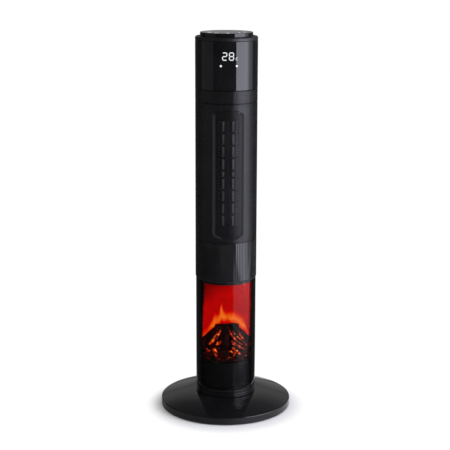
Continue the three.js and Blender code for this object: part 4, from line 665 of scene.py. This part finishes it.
def rise(value, low, high, start=0.0, end=1.0):
    return spread(value, low * MM, high * MM, start, end)


def prism(outline, near, far, upright=False):
    """Draws an outline out straight, backwards from near to far or upright."""
    points = [(a, b, z) if upright else (a, z, b) for z in (near, far) for a, b in outline]
    return points, tube_faces(2, len(outline))


flame_top = profile((
    (-49, 160), (-38, 170), (-31, 186), (-23, 199), (-14, 202), (-8.5, 222), (-3, 208), (6, 201), (13, 203),
    (21, 203), (30, 197), (41, 188), (44, 172), (49, 158), (54, 140)))
flame_foot = profile((
    (-49, 150), (-35, 163), (-23, 172), (-13, 179), (-8.5, 185), (0, 187), (9, 183), (14, 181), (27, 175),
    (42, 162), (49, 150), (54, 138)))
under_top = rise(less(flame_top, raised), -5, 17)
over_foot = rise(less(raised, flame_foot), -9, 6)
blaze = times(under_top, over_foot)
mottle = scaled(cloud(tree, 45, 3), 0.3, -0.09)
heat = reckon("ADD", times(blaze, 0.80), mottle)
colour = ramp(heat, (
    (0.0, (0.36, 0.0, 0.0)), (0.16, (0.54, 0.0008, 0.0005)), (0.34, (0.62, 0.008, 0.0)),
    (0.56, (0.72, 0.050, 0.001)), (0.80, (0.80, 0.105, 0.004)), (1.0, (0.95, 0.26, 0.03))))
wave = scaled(cloud(tree, 40, 3, (0.2, 1, 1)), 9 * MM, -4.5 * MM)
leaning = reckon("ADD", scaled(place["Z"], -0.04, 0.006), place["X"])
left_edge = rise(reckon("ADD", leaning, wave), -53, -47)
right_edge = rise(less(wave, place["X"]), -57, -46)
edges = times(left_edge, right_edge)
slant = less(times(place["X"], 0.55), times(place["Z"], 0.84))
top_corner = rise(slant, -246, -200, 0.30, 1.0)
behind_logs = rise(less(place["Z"], flame_foot), -20, -7)
glow = times(times(edges, top_corner), behind_logs)
feed(shader, {
    "Emission Color": colour,
    "Emission Strength": times(glow, 1.75),
    "Base Color": (0.01, 0.001, 0.001, 1),
    "Roughness": 0.6,
    "Specular IOR Level": 0.0,
})
screen_outline = rounded(-SHEET_HALF, SHEET_HALF, SHEET_BOTTOM, SHEET_TOP, (2, 2, 2, 2), 3)
flame_screen = shape("flame_sheet", *prism(screen_outline, SHEET_FRONT, SHEET_BACK), flame_light)
settle(flame_screen, "tower", "flame_red", "flame_screen")
flame_screen.visible_glossy = False

# Logs. A vacuum-formed pile of dark logs with charred bark, painted nearly black, leaning
# together in a low ridge; light comes up through the gaps between them.
LOG_RINGS = 22
LOG_SIDES = 26
char, tree, shader = blank("log_char")
bark = cloud(tree, 130, 8, (1, 1, 0.35))
soot = ramp(bark, (
    (0.3, (0.003, 0.001, 0.001)), (0.62, (0.010, 0.004, 0.003)), (0.8, (0.03, 0.010, 0.007))))
# Red patches of painted glow on the bark: emission on logs that give no light of their own.
painted_glow = ramp(cloud(tree, 60, 5), (
    (0.42, 0.0), (0.62, (0.06, 0.001, 0.001)), (0.8, (0.2, 0.006, 0.0))))
feed(shader, {
    "Base Color": soot,
    "Emission Color": painted_glow,
    "Emission Strength": 0.5,
    "Specular IOR Level": 0.08,
    "Roughness": span(bark, 0.75, 0.95),
})
press(shader, bark, 1.2)


def uneven(*place):
    return noise.noise(Vector(place))


def log(start, end, thick, thin, seed):
    """A log between two points, its bark pushed in and out along the grain."""
    start = Vector(start)
    run = Vector(end) - start
    turn = run.to_track_quat("Z", "Y")
    points = []
    for ring in range(LOG_RINGS + 1):
        share = ring / LOG_RINGS
        for side in range(LOG_SIDES):
            angle = tau * side / LOG_SIDES
            ridge = uneven(*on_circle(2.4, angle), share * 2.2 + seed)
            knot = uneven(*on_circle(1, angle), share * 5 + seed * 3)
            reach = (thick + (thin - thick) * share) * (1 + 0.16 * ridge + 0.10 * knot)
            if ring in (0, LOG_RINGS):
                reach *= 0.86
            along = run.length * share + 0.7 * uneven(angle, share, seed)
            points.append(tuple(start + turn @ Vector((*on_circle(reach, angle), along))))
    return points, tube_faces(LOG_RINGS + 1, LOG_SIDES)


logs = (
    ((-51, -9, 138), (-12, -15, 176), 9.0, 9.0, 1),
    ((50, -9, 141), (11, -15, 176), 9.0, 9.0, 2),
    ((-24, -14, 172), (27, -13, 172), 9.5, 9.5, 3),
    ((-4.5, -40, 140), (-4, -14, 180), 8.6, 9.0, 4),
    ((-9, -47, 121), (-6, -22, 133), 11.0, 10.0, 5),
    ((-46, -20, 129), (-20, -24, 163), 8.5, 7.5, 6),
    ((45, -18, 130), (18, -24, 164), 8.5, 7.5, 7),
    ((-36, -35, 119), (-14, -30, 146), 6.5, 5.5, 8),
    ((34, -36, 118), (12, -30, 143), 6.0, 5.5, 9),
    ((18, -44, 116), (44, -20, 122), 6.5, 6.0, 10),
    ((44, -30, 120), (10, -34, 145), 5.5, 5.0, 12),
    ((-46, -22, 118), (-26, -44, 116), 6.5, 6.0, 11),
)
log_pile = shape("log_pile", *together([log(*entry) for entry in logs]), char, crease=50)
settle(log_pile, "tower", "log_brown", "log_set")

# Embers. Clear orange resin in the gaps between the logs and in a low bed under them; the
# lamps below make it glow, brightest in the cracks and fading towards the front edge.
VEIN_SIDES = 10
VEIN_STEPS = 10
SPARKS = 26
BED_RADIUS = 55.0
BED_TOP = 109.5
BED_RINGS = 16
BED_SIDES = 44
ember_glow, tree, shader = blank("ember_glow")
spots = cloud(tree, 210, 6)
feed(shader, {
    "Emission Color": ramp(spots, (
        (0.40, (0.06, 0.0, 0.0)), (0.48, (0.45, 0.003, 0.001)), (0.56, (0.85, 0.022, 0.001)),
        (0.62, (1.0, 0.14, 0.006)), (0.70, (1.0, 0.50, 0.06)))),
    "Emission Strength": ramp(spots, ((0.40, 0.03), (0.50, 0.84), (0.64, 2.05))),
    "Specular IOR Level": 0.08,
    "Base Color": (0.10, 0.015, 0.005, 1),
    "Roughness": 0.5,
})


def vein(path, width, seed):
    """A lumpy crack of embers along a path, wide in the middle and thin at its ends."""
    points = []
    total = (len(path) - 1) * VEIN_STEPS
    for step in range(total + 1):
        part = min(step // VEIN_STEPS, len(path) - 2)
        here = Vector(path[part]).lerp(Vector(path[part + 1]), step / VEIN_STEPS - part)
        swell = 0.35 + 0.65 * sin(pi * (step + 0.6) / (total + 1.2))
        swell *= 1 + 0.6 * uneven(step * 0.55, seed, 0.3)
        for side in range(VEIN_SIDES):
            x, y = on_circle(1, tau * side / VEIN_SIDES)
            reach = width * swell * (1 + 0.35 * uneven(x * 1.5, y * 1.5 + seed, step * 0.4))
            points.append(tuple(here + Vector((reach * x, reach * 0.6 * y, 0))))
    return points, tube_faces(total + 1, VEIN_SIDES)


veins = [
    (((-15, -31, 173), (-25, -33, 155), (-37, -34, 143)), 4.4, 1),
    (((-13, -36, 151), (-22, -37, 142)), 4.2, 2),
    (((-28, -38, 136), (-23, -42, 117)), 4.4, 3),
    (((5.5, -32, 172), (12, -33, 160), (21, -34, 149), (33, -33, 140)), 2.2, 4),
    (((11, -29, 170), (22, -30, 158), (36, -30, 146), (44, -28, 136)), 1.7, 9),
    (((11, -37, 151), (16, -39, 143), (28, -38, 136), (39, -35, 129)), 4.2, 10),
    (((27, -27, 166), (35, -28, 149)), 3.0, 5),
    (((13, -41, 140), (15, -44, 119)), 3.4, 6),
    (((20, -41, 131), (29, -41, 121)), 3.4, 7),
    (((-42, -30, 133), (-33, -37, 120)), 3.0, 8),
]
for i in range(SPARKS):
    across = 84 * ((i * 0.618) % 1) - 42
    up = 112 + 26 * ((i * 0.382 + 0.2) % 1)
    depth = -30 - 12 * ((i * 0.271) % 1) + abs(across) * 0.22
    veins.append((((across - 2, depth, up), (across + 2, depth - 1, up - 3)), 1.5 + (i % 3) * 0.4, 20 + i))
ember_cracks = shape("ember_cracks", *together([vein(*entry) for entry in veins]), ember_glow, crease=60)
settle(ember_cracks, "tower", "ember_orange")
ember_cracks.visible_glossy = False

ember_dim, tree, shader = blank("ember_dim")
spots = cloud(tree, 120, 6)
inner = rise(times(length_of(place_of(tree)), -1.0), -124, -116)
feed(shader, {
    "Emission Color": ramp(spots, (
        (0.45, (0.02, 0.0, 0.0)), (0.58, (0.45, 0.01, 0.0)), (0.72, (1.0, 0.25, 0.02)))),
    "Emission Strength": times(inner, ramp(spots, ((0.46, 0.0), (0.75, 0.72)))),
    "Base Color": (0.006, 0.003, 0.003, 1),
    "Specular IOR Level": 0.2,
    "Roughness": 0.8,
})
points = []
for ring in range(BED_RINGS + 1):
    for side in range(BED_SIDES + 1):
        x, y = on_circle(BED_RADIUS * max(ring, 0.2) / BED_RINGS, -pi * side / BED_SIDES)
        y += 2
        lift = 2.6 * uneven(x * 0.14, y * 0.14, 0.5) + 1.6 * uneven(x * 0.4, y * 0.4, 2.5)
        points.append((x, y, BED_TOP + (3.0 + lift) * (1 - (ring / BED_RINGS) ** 4)))
ember_bed = shape("ember_mound", points, net(BED_RINGS + 1, BED_SIDES + 1, False), ember_dim, crease=60)
settle(ember_bed, "tower", "ember_orange", "ember_bed")
ember_bed.visible_glossy = False

# Reflector and flame rotor. A bright pressed sheet curves round the rear of the flame section,
# and a shaft with twisted foil fins turns in front of it to make the light flicker.
aluminium = metal("aluminium", (0.62, 0.62, 0.63), (0.80, 0.80, 0.80), 0.25, 0.4, 160, (1, 1, 8))
dress(aluminium, "reflector", "flame_rotor")
dress(steel, "rotor_bracket", "rotor_motor")

# Mid deck. A black plate with a thin flange that shows as a dark line between the flame
# section and the upper column.
dress(plain_black, "mid_deck")

# Pinstriped collar. A satin black moulded ring with 104 fine upright grooves, a plain lip at
# the bottom and the top, and a square hole at the rear for the mains switch.
COLUMN_RADIUS = 64.5
COLUMN_INNER = 62.1
COLLAR_BOTTOM = 287.0
COLLAR_TOP = 369.4
STRIPES = 104
STRIPE_STEPS = 8
GROOVE_STEPS = 2
FLUTE = 0.3
LIP = 2.2
INWARDS = COLUMN_INNER - COLUMN_RADIUS
SWITCH_Z = 328.2
SWITCH_HALF = 10


def pitted(name, radius, depth, sill, tone, low=0.11, high=0.17):
    """Gloss black round the axis; what lies below the sill, a share of the depth, is painted as shade: a
    black that reflects almost no light.
    """
    material, tree, shader = blank(name)
    wide = ramp(cloud(tree, 22, 4), (
        (0.3, (tone * 0.8, tone * 0.8, tone * 0.85)), (0.7, (tone, tone, tone * 1.05))))
    level_place = add(tree, "ShaderNodeVectorMath", {0: place_of(tree), 1: (1, 1, 0)}, operation="MULTIPLY")
    reach = length_of(level_place.outputs[0])
    up = scaled(reach, 1 / (depth * MM), 1 - radius / depth)
    # The pit mask is painted shade: below the sill the finish turns into a black metal that reflects almost
    # nothing.
    pit = spread(up, sill - 0.12, sill + 0.12, 1.0, 0.0)
    shaded = add(tree, "ShaderNodeMix", {0: pit, 6: wide, 7: (0.0015, 0.0015, 0.0015, 1)}, data_type="RGBA")
    feed(shader, {
        "Base Color": shaded.outputs[2],
        "Metallic": pit,
        "Roughness": span(cloud(tree, 60, 8), low, high),
    })
    press(shader, cloud(tree, 500, 4), 0.006)
    return material


# The floors of the grooves are painted shade, black through the pitted finish.
striped_black = pitted("striped_black", COLUMN_RADIUS, FLUTE, 0.85, 0.014, 0.07, 0.11)
low_rows = ((0, -1.3, 0), (0.5, -0.6, 0), (1.3, 0, 0), (LIP, 0, 0), (LIP + 0.4, 0, 1), (LIP + 0.8, 0, 1),
            (LIP + 1.4, 0, 1))
high_rows = ((2.0, 0, 1), (1.5, 0, 1), (1.2, 0, 1), (0.8, 0, 0), (0.2, -0.03, 0), (0, -0.2, 0),
             (0, INWARDS, 0))
levels = [(COLLAR_BOTTOM + up, inset, cut) for up, inset, cut in low_rows]
levels += [(COLLAR_TOP - down, inset, cut) for down, inset, cut in high_rows]
levels.append((COLLAR_BOTTOM, INWARDS, 0))
columns = STRIPES * STRIPE_STEPS
points = []
for z, inset, cut in levels:
    for column in range(columns):
        dip = FLUTE * cut if column % STRIPE_STEPS < GROOVE_STEPS else 0
        points.append((*on_circle(COLUMN_RADIUS + inset - dip, tau * column / columns), z))
count = len(points)
faces = [tuple(i % count for i in face) for face in net(len(levels) + 1, columns)]
collar = shape("pinstripe_collar", points, faces, striped_black, crease=9)
hole = rounded(-6.4, 6.4, SWITCH_Z - SWITCH_HALF, SWITCH_Z + SWITCH_HALF)
carve(collar, shape("switch_hole", *prism(hole, 50, 80)), crease=9)
settle(collar, "tower", "striped_black", "lower_collar")

# Mains switch. A black snap-in rocker in its frame at the rear of the collar, wired between
# the cord's clamp and the power board.
dress(satin_black, "mains_switch_frame")
dress(gloss_black, "mains_rocker")

# Front panel. A half round of satin black ABS with a fine diamond texture, and a long
# eight-sided recess with bevelled walls and upright slots for the warm air in its floor.
PANEL_BOTTOM = 370.0
PANEL_TOP = 658.6
PANEL_HALF = radians(89.65)
DIAMOND = 4.9
RELIEF = 0.16
SEAM = 0.6
RECESS_BOTTOM = 378.5
RECESS_TOP = 646.1
RECESS_HALF = 32.3
CORNER_HALF = 16.3
CORNER_HEIGHT = 8.6
BEVEL = 5.8
FLOOR_RADIUS = 59.5
FLOOR_HALF = radians(38)
SLOPE = BEVEL / (COLUMN_RADIUS - FLOOR_RADIUS)
SLOT_BOTTOM = 406.6
SLOT_TOP = 623.4
SLOT_WIDTH = 4.4
SLOT_RIB = 4.0
SLOT_LENGTH = (SLOT_TOP - SLOT_BOTTOM - 8 * SLOT_RIB) / 8.5
MIDDLE_SLOT_WIDTH = 2.4
INNER_SLOT = 10.2
OUTER_SLOT = 18.6
# The pits of the diamond texture are painted shade, black through the pitted finish.
diamond_black = pitted("diamond_black", COLUMN_RADIUS, RELIEF, 0.30, 0.026)
recess_black = pitted("recess_black", FLOOR_RADIUS, RELIEF, 0.54, 0.065)
# The bevel walls' colour is painted light: the walls at the right are painted lighter than those at the left,
# a painted highlight.
bevel_black, tree, shader = blank("bevel_black")
place = split(place_of(tree))
dots = [reckon("SINE", times(place[axis], tau / (DIAMOND * MM))) for axis in "XZ"]
feed(shader, {
    "Base Color": ramp(scaled(place["X"], 10.0, 0.5), (
        (0.3, (0.012, 0.012, 0.013)), (0.6, (0.016, 0.016, 0.017)), (0.74, (0.038, 0.038, 0.040)))),
    "Roughness": span(cloud(tree, 60, 8), 0.20, 0.28),
})
press(shader, times(*dots), 0.9)


def diamond_wall(radius, inner, middle, half, low, high):
    """A wall round the axis whose outside, or inside, is a field of small four-sided points."""
    turn = 2 * half
    full = turn > tau - 0.0001
    columns = 2 * round(turn * radius / DIAMOND)
    rows = 2 * round((high - low) / DIAMOND) + 2
    field = (high - low - 2 * SEAM) / (rows - 2)
    width = columns if full else columns + 1
    angles = [middle - half + turn * column / columns for column in range(width)]
    points = []
    for row in range(rows + 1):
        level = min(max(low, low + SEAM + field * (row - 1)), high)
        for column, angle in enumerate(angles):
            edge = not full and column in (0, columns)
            dip = 0 if edge or (row + column) % 2 == 0 else RELIEF
            # The first and last rows sink below the sill, so the pitted finish paints a black line of shade
            # along each seam.
            if row in (0, rows):
                dip = 3 * RELIEF
            points.append((*on_circle(radius - dip, angle), level))
    faces = []
    for row in range(rows):
        for column in range(columns):
            a = row * width + column
            b = row * width + (column + 1) % width
            c = b + width
            d = a + width
            faces += [(a, b, c), (a, c, d)] if (row + column) % 2 else [(a, b, d), (b, c, d)]
    base = len(points)
    points += [(*on_circle(inner, angle), z) for z in (low, high) for angle in angles]
    last = rows * width
    for column in range(columns):
        after = (column + 1) % width
        for a, b in ((base, base + width), (0, base), (last, base + width)):
            faces.append((a + column, a + after, b + after, b + column))
    if not full:
        for column in (0, columns):
            rim = [row * width + column for row in range(rows + 1)]
            faces.append(rim + [base + width + column, base + column])
    return points, faces


def octagon(inset):
    """The lower and the upper half of the recess's outline, drawn in by an inset."""
    half = RECESS_HALF - inset
    corner = CORNER_HALF - inset * 0.35
    rise = CORNER_HEIGHT - inset * 0.25
    row = [(-half + (half - corner) * i / 5, rise * (1 - i / 5)) for i in range(5)]
    row += [(-corner + 2 * corner * i / 12, 0) for i in range(13)]
    row += [(corner + (half - corner) * i / 5, rise * i / 5) for i in range(1, 6)]
    low = [(x, RECESS_BOTTOM + inset * 0.4 + up) for x, up in row]
    high = [(x, RECESS_TOP - inset * 0.2 - up) for x, up in row]
    return low, high


def recess_block(inset_near, radius_near, inset_far, radius_far):
    """A solid between a near and a far outline of the recess, both bent round the column."""
    points = []
    for inset, radius in ((inset_near, radius_near), (inset_far, radius_far)):
        for half in octagon(inset):
            points += [(x, -sqrt(radius ** 2 - x ** 2), z) for x, z in half]
    count = len(points) // 4
    faces = []
    for i in range(count - 1):
        for first, second in ((0, 1), (2, 3), (0, 2), (1, 3)):
            a = first * count + i
            b = second * count + i
            faces.append((a, a + 1, b + 1, b))
    for i in (0, count - 1):
        faces.append((i, count + i, 3 * count + i, 2 * count + i))
    return points, faces


def upright_slot(x, width, low, high):
    return prism(rounded(x - width / 2, x + width / 2, low, high, [0.9] * 4), -75, -50)


walls = recess_block(-3 * SLOPE, COLUMN_RADIUS + 3, BEVEL + 2 * SLOPE, FLOOR_RADIUS - 2)
tool = shape("recess_walls", *walls, bevel_black)
floor_field = diamond_wall(FLOOR_RADIUS, 75, FRONT, FLOOR_HALF, PANEL_BOTTOM - 5, PANEL_TOP + 5)
carve(tool, shape("recess_floor", *floor_field, recess_black), "INTERSECT")
front_field = diamond_wall(COLUMN_RADIUS, COLUMN_INNER, FRONT, PANEL_HALF, PANEL_BOTTOM, PANEL_TOP)
front_panel = shape("outlet_panel", *front_field, diamond_black)
carve(front_panel, shape("pan", *recess_block(-2, 63.6, 4, 57.4), diamond_black), "UNION", crease=6)
carve(front_panel, tool, crease=6)
slots = [upright_slot(0, MIDDLE_SLOT_WIDTH, SLOT_BOTTOM, SLOT_TOP)]
for x in (-OUTER_SLOT, -INNER_SLOT, INNER_SLOT, OUTER_SLOT):
    z = SLOT_BOTTOM
    for i in range(9):
        height = SLOT_LENGTH / 2 if i == 4 else SLOT_LENGTH
        slots.append(upright_slot(x, SLOT_WIDTH, z, z + height))
        z += height + SLOT_RIB
carve(front_panel, shape("slots", *together(slots)), crease=6)
settle(front_panel, "tower", "satin_black", "front_panel")

# Rails and screens behind the slots. Thin strips of brushed aluminium are clipped upright behind
# the inner slots and the long middle one, and dotted black strips behind the outer slots.
SCREEN_RADIUS = FLOOR_RADIUS - 2.3
SCREEN_HALF = 3.0 / SCREEN_RADIUS
RAIL_RADIUS = FLOOR_RADIUS - 2.1
rail_bright = metal("rail_bright", (0.34, 0.34, 0.35), (0.44, 0.44, 0.45), 0.42, 0.55, 260, (1, 1, 0.05))
for name, x, width in (("left", -INNER_SLOT, 5.4), ("middle", 0.0, 2.2), ("right", INNER_SLOT, 5.4)):
    front = -sqrt(RAIL_RADIUS ** 2 - x ** 2)
    crown = ((-1, 1.4, 0), (-1, 0.5, 0.3), (0, 0.2, 0.6), (1, 0.5, 0.3), (1, 1.4, 0))
    outline = soften([(x + side * width / 2, front + back, radius) for side, back, radius in crown], 4)
    rail = shape(f"slot_rail_{name}", *prism(outline, SLOT_BOTTOM - 3, SLOT_TOP + 3, True), rail_bright)
    settle(rail, "tower", "aluminium")
# The dots of these strips are pits painted as shade by the pitted finish.
screen_black = pitted("screen_black", SCREEN_RADIUS, RELIEF, 0.56, 0.065)
for name, x in (("left", -OUTER_SLOT), ("right", OUTER_SLOT)):
    middle = FRONT + asin(x / SCREEN_RADIUS)
    field = diamond_wall(SCREEN_RADIUS, SCREEN_RADIUS - 1.2, middle, SCREEN_HALF,
                         SLOT_BOTTOM - 4, SLOT_TOP + 4)
    settle(shape(f"slot_screen_{name}", *field, screen_black, crease=6), "tower", "satin_black")

# Heating element. Aluminium fins brazed between ceramic stones in a mica frame, right behind
# the outlet; the cross-flow wheel blows through it from a duct of black plastic.
mica = matt_paint("mica", (0.30, 0.26, 0.19), (0.40, 0.35, 0.26), 0.5, 300)
copper = metal("copper", (0.55, 0.25, 0.14), (0.75, 0.38, 0.24), 0.25, 0.4, 160, (1, 1, 6))
dress(mica, "element_frame")
dress(aluminium, "element_core")
dress(copper, "thermal_cutout")
dress(plain_black, "air_duct", "blower_wheel", "blower_bearing")
dress(steel, "blower_motor")

# Rear panel. The other half round, with the same diamond texture and two columns of level
# slots through which the blower draws its air.
INTAKE_MIDDLE = 515
INTAKE_ROWS = 14
INTAKE_PITCH = 13
INTAKE_X = 15.5
INTAKE_HALF = 13
INTAKE_RISE = 1.7
rear_field = diamond_wall(COLUMN_RADIUS, COLUMN_INNER, -FRONT, PANEL_HALF, PANEL_BOTTOM, PANEL_TOP)
rear_panel = shape("intake_panel", *rear_field, diamond_black)
slots = []
for row in range(INTAKE_ROWS):
    z = INTAKE_MIDDLE + (row - (INTAKE_ROWS - 1) / 2) * INTAKE_PITCH
    for x in (-INTAKE_X, INTAKE_X):
        outline = rounded(x - INTAKE_HALF, x + INTAKE_HALF, z - INTAKE_RISE, z + INTAKE_RISE, [1.6] * 4)
        slots.append(prism(outline, 75, 45))
carve(rear_panel, shape("slots", *together(slots)), crease=6)
settle(rear_panel, "tower", "satin_black", "rear_panel")
joint_lips("panel_joint_lips", radians(90), 61.9, PANEL_BOTTOM + 0.5, PANEL_TOP - 0.5)

# Upper band. A plain ring with the same diamond texture, above the two panels; it closes
# the joints between them and carries the head.
BAND_BOTTOM = 659.2
BAND_TOP = 685.3
band_field = diamond_wall(COLUMN_RADIUS, COLUMN_INNER, pi, pi, BAND_BOTTOM, BAND_TOP)
settle(shape("diamond_band", *band_field, diamond_black, crease=6), "tower", "satin_black", "upper_band")

# Head. A polished black tube, smoked so thinly in front that the display behind it shines
# through: two white digits, a small unit mark and two round lights.
HEAD_BOTTOM = 685.9
HEAD_TOP = 784.0
HEAD_INNER = 62.3
DISPLAY_LIFT = 0.06
DIGIT_BOTTOM = 747.8
DIGIT_WIDTH = 8.4
DIGIT_HEIGHT = 14.6
DIGIT_STROKE = 1.8
LIGHTS_UP = 735.9
LIGHT_RADIUS = 2.2
SEGMENTS = {
    "top": ((0.08, 1), (0.92, 1)), "middle": ((0.08, 0.5), (0.92, 0.5)), "bottom": ((0.08, 0), (0.92, 0)),
    "upper_left": ((0, 0.55), (0, 0.95)), "upper_right": ((1, 0.55), (1, 0.95)),
    "lower_left": ((0, 0.05), (0, 0.45)), "lower_right": ((1, 0.05), (1, 0.45)),
}
head_outline = rounded(HEAD_INNER, COLUMN_RADIUS, HEAD_BOTTOM, HEAD_TOP, (0.2, 0.6, 0.5, 0.2))
head = shape("head_tube", *lathe(head_outline, 224), gloss_black, crease=30)
settle(head, "tower", "gloss_black", "head_shell")
dress(circuit_green, "display_module")


def lit(name, colour, strength):
    material, tree, shader = blank(name)
    stops = ((0.3, tuple(part * 0.94 for part in colour)), (0.7, colour))
    feed(shader, {
        "Base Color": (0.02, 0.02, 0.02, 1),
        "Roughness": 0.3,
        "Emission Color": ramp(cloud(tree, 900, 2), stops),
        "Emission Strength": strength,
    })
    return material


def ribbon(path, width, closed=False):
    """A flat band of even width along a path of (across, up) points."""
    line = [Vector(point) for point in path]
    first = line[-1] if closed else line[0] * 2 - line[1]
    last = line[0] if closed else line[-1] * 2 - line[-2]
    points = []
    for before, here, after in zip([first, *line], line, [*line[1:], last]):
        way = ((here - before).normalized() + (after - here).normalized()).normalized()
        side = Vector((-way.y, way.x)) * width / 2
        points += [tuple(here + side), tuple(here - side)]
    count = len(points)
    return points, net(len(line), 2, False) + ([(count - 2, count - 1, 1, 0)] if closed else [])


def disc(x, y, radius, sides=28):
    rim = [on_circle(radius, tau * i / sides) for i in range(sides)]
    points = [(x, y)] + [(x + right, y + up) for right, up in rim]
    return points, [(0, 1 + i, 1 + (i + 1) % sides) for i in range(sides)]


def digit(lit_names, x):
    parts = []
    for name in lit_names:
        start, end = (Vector(corner) for corner in SEGMENTS[name])
        path = [start.lerp(end, i / 4) for i in range(5)]
        path = [(x + DIGIT_WIDTH * a, DIGIT_BOTTOM + DIGIT_HEIGHT * b) for a, b in path]
        parts.append(ribbon(path, DIGIT_STROKE))
    return parts


display_white = lit("display_white", (0.96, 0.98, 1.0), 1.0)
marks = digit(("top", "upper_right", "middle", "lower_left", "bottom"), -12.9)
marks += digit(tuple(SEGMENTS), 0.8)
unit_mark = [(17.8, 752.4), (14.8, 752.4), (14.4, 752.0), (14.4, 748.6), (14.8, 748.2), (17.8, 748.2)]
marks += [ribbon(unit_mark, 0.8)]
marks += [disc(-16.4, LIGHTS_UP, LIGHT_RADIUS), disc(16.2, LIGHTS_UP, LIGHT_RADIUS)]
flat_points, faces = together(marks)
points = []
for across, up in flat_points:
    points.append((*on_circle(COLUMN_RADIUS + DISPLAY_LIFT, FRONT + across / COLUMN_RADIUS), up))
settle(shape("display_digits", points, faces, display_white), "tower", "gloss_black")

# Shoulder ring. A satin ring with a wide chamfer that closes the head and frames the cap;
# it is moulded in black ABS and pressed onto the head's tube.
SHOULDER_BOTTOM = 784.6
SHOULDER_TOP = 792.0
SHOULDER_INNER = 55.0
CHAMFER = 1.9
shoulder_outline = soften([
    (SHOULDER_INNER, SHOULDER_BOTTOM, 0.2), (COLUMN_RADIUS, SHOULDER_BOTTOM, 0.3),
    (COLUMN_RADIUS, SHOULDER_TOP - CHAMFER, 0.5), (COLUMN_RADIUS - CHAMFER, SHOULDER_TOP, 0.5),
    (SHOULDER_INNER, SHOULDER_TOP, 0.4)], 4)
shoulder_black = plastic("shoulder_black", (0.006, 0.006, 0.007), (0.010, 0.010, 0.011), 0.36, 0.44,
                         700, 0.006)
shoulder = shape("shoulder", *lathe(shoulder_outline, 192), shoulder_black, crease=30)
settle(shoulder, "tower", "satin_black", "shoulder_ring")

# Control cap. A gloss disc raised over the shoulder, with five round touch keys let flush
# into its front half, each with a pale printed sign; the signs also get a painted glow.
CAP_RADIUS = 54.3
CAP_BOTTOM = 786.3
CAP_TOP = 800.0
KEY_CIRCLE = 38.0
KEY_RADIUS = 5.1
KEY_GAP = 0.3
KEY_BOTTOM = 796.5
KEY_TOP = CAP_TOP - 0.04
KEY_STEP = radians(36)
SIGN_Z = CAP_TOP - 0.01


def arc(radius, low, high, steps):
    return [on_circle(radius, radians(low + (high - low) * i / steps)) for i in range(steps + 1)]


cap_outline = soften([(0, CAP_BOTTOM, 0), (CAP_RADIUS - 1, CAP_BOTTOM, 0), (CAP_RADIUS, CAP_BOTTOM + 1, 0.3),
                      (CAP_RADIUS, CAP_TOP, 0.9), (0, CAP_TOP, 0)], 6)
cap = shape("cap_disc", *lathe(cap_outline, 192), gloss_black, crease=30)
key_angles = [FRONT + (i - 2) * KEY_STEP for i in range(5)]
holes = [shifted(plug(KEY_RADIUS + KEY_GAP, 790, 805, 40), KEY_CIRCLE, angle) for angle in key_angles]
carve(cap, shape("key_holes", *together(holes)), crease=30)
settle(cap, "tower", "gloss_black", "top_cap")
# The signs are pale print that also glows: a painted glow, brighter than print alone would be under the
# lamps.
sign_light = lit("sign_light", (1.0, 0.97, 1.0), 2.0)
rays = [ribbon([on_circle(1.2, turn), on_circle(2.9, turn + 0.5)], 0.6) for turn in (0.3, 1.87, 3.44, 5.01)]
drop = [(0, 3.0), (1.6, 0.8), (1.9, -0.8), (1.1, -2.3), (0, -2.8), (-1.1, -2.3), (-1.9, -0.8), (-1.0, 0.6)]
signs = (
    [ribbon(arc(3.2, 0, 345, 23), 0.9, True), ribbon([(0, 1.6), (0, 0), (1.2, 0)], 0.5)],
    [ribbon([(-3.6, 0), (3.6, 0)], 0.95), ribbon([(-1.8, 1.8), (-3.6, 0), (-1.8, -1.8)], 0.8),
     ribbon([(1.8, 1.8), (3.6, 0), (1.8, -1.8)], 0.8)],
    [ribbon(arc(3.0, 125, 415, 22), 0.95), ribbon([(0, 0.8), (0, 3.8)], 0.95)],
    [ribbon(drop, 0.95)],
    [ribbon(arc(0.9, 0, 345, 14), 0.5, True), *rays],
)
key_outline = rounded(0, KEY_RADIUS, KEY_BOTTOM, KEY_TOP, (0, 0, 0.35, 0))
for i, (angle, sign) in enumerate(zip(key_angles, signs), 1):
    key = shape(f"key_button_{i}", *shifted(lathe(key_outline, 40), KEY_CIRCLE, angle), gloss_black)
    settle(key, f"key_body_{i}", "gloss_black", f"key_{i}")
    flat_points, faces = together(sign)
    flat_sign = ([(x, y, SIGN_Z) for x, y in flat_points], faces)
    glowing_print_mark = shape(f"key_sign_{i}", *shifted(flat_sign, KEY_CIRCLE, angle), sign_light)
    settle(glowing_print_mark, f"key_body_{i}", "plain_black")
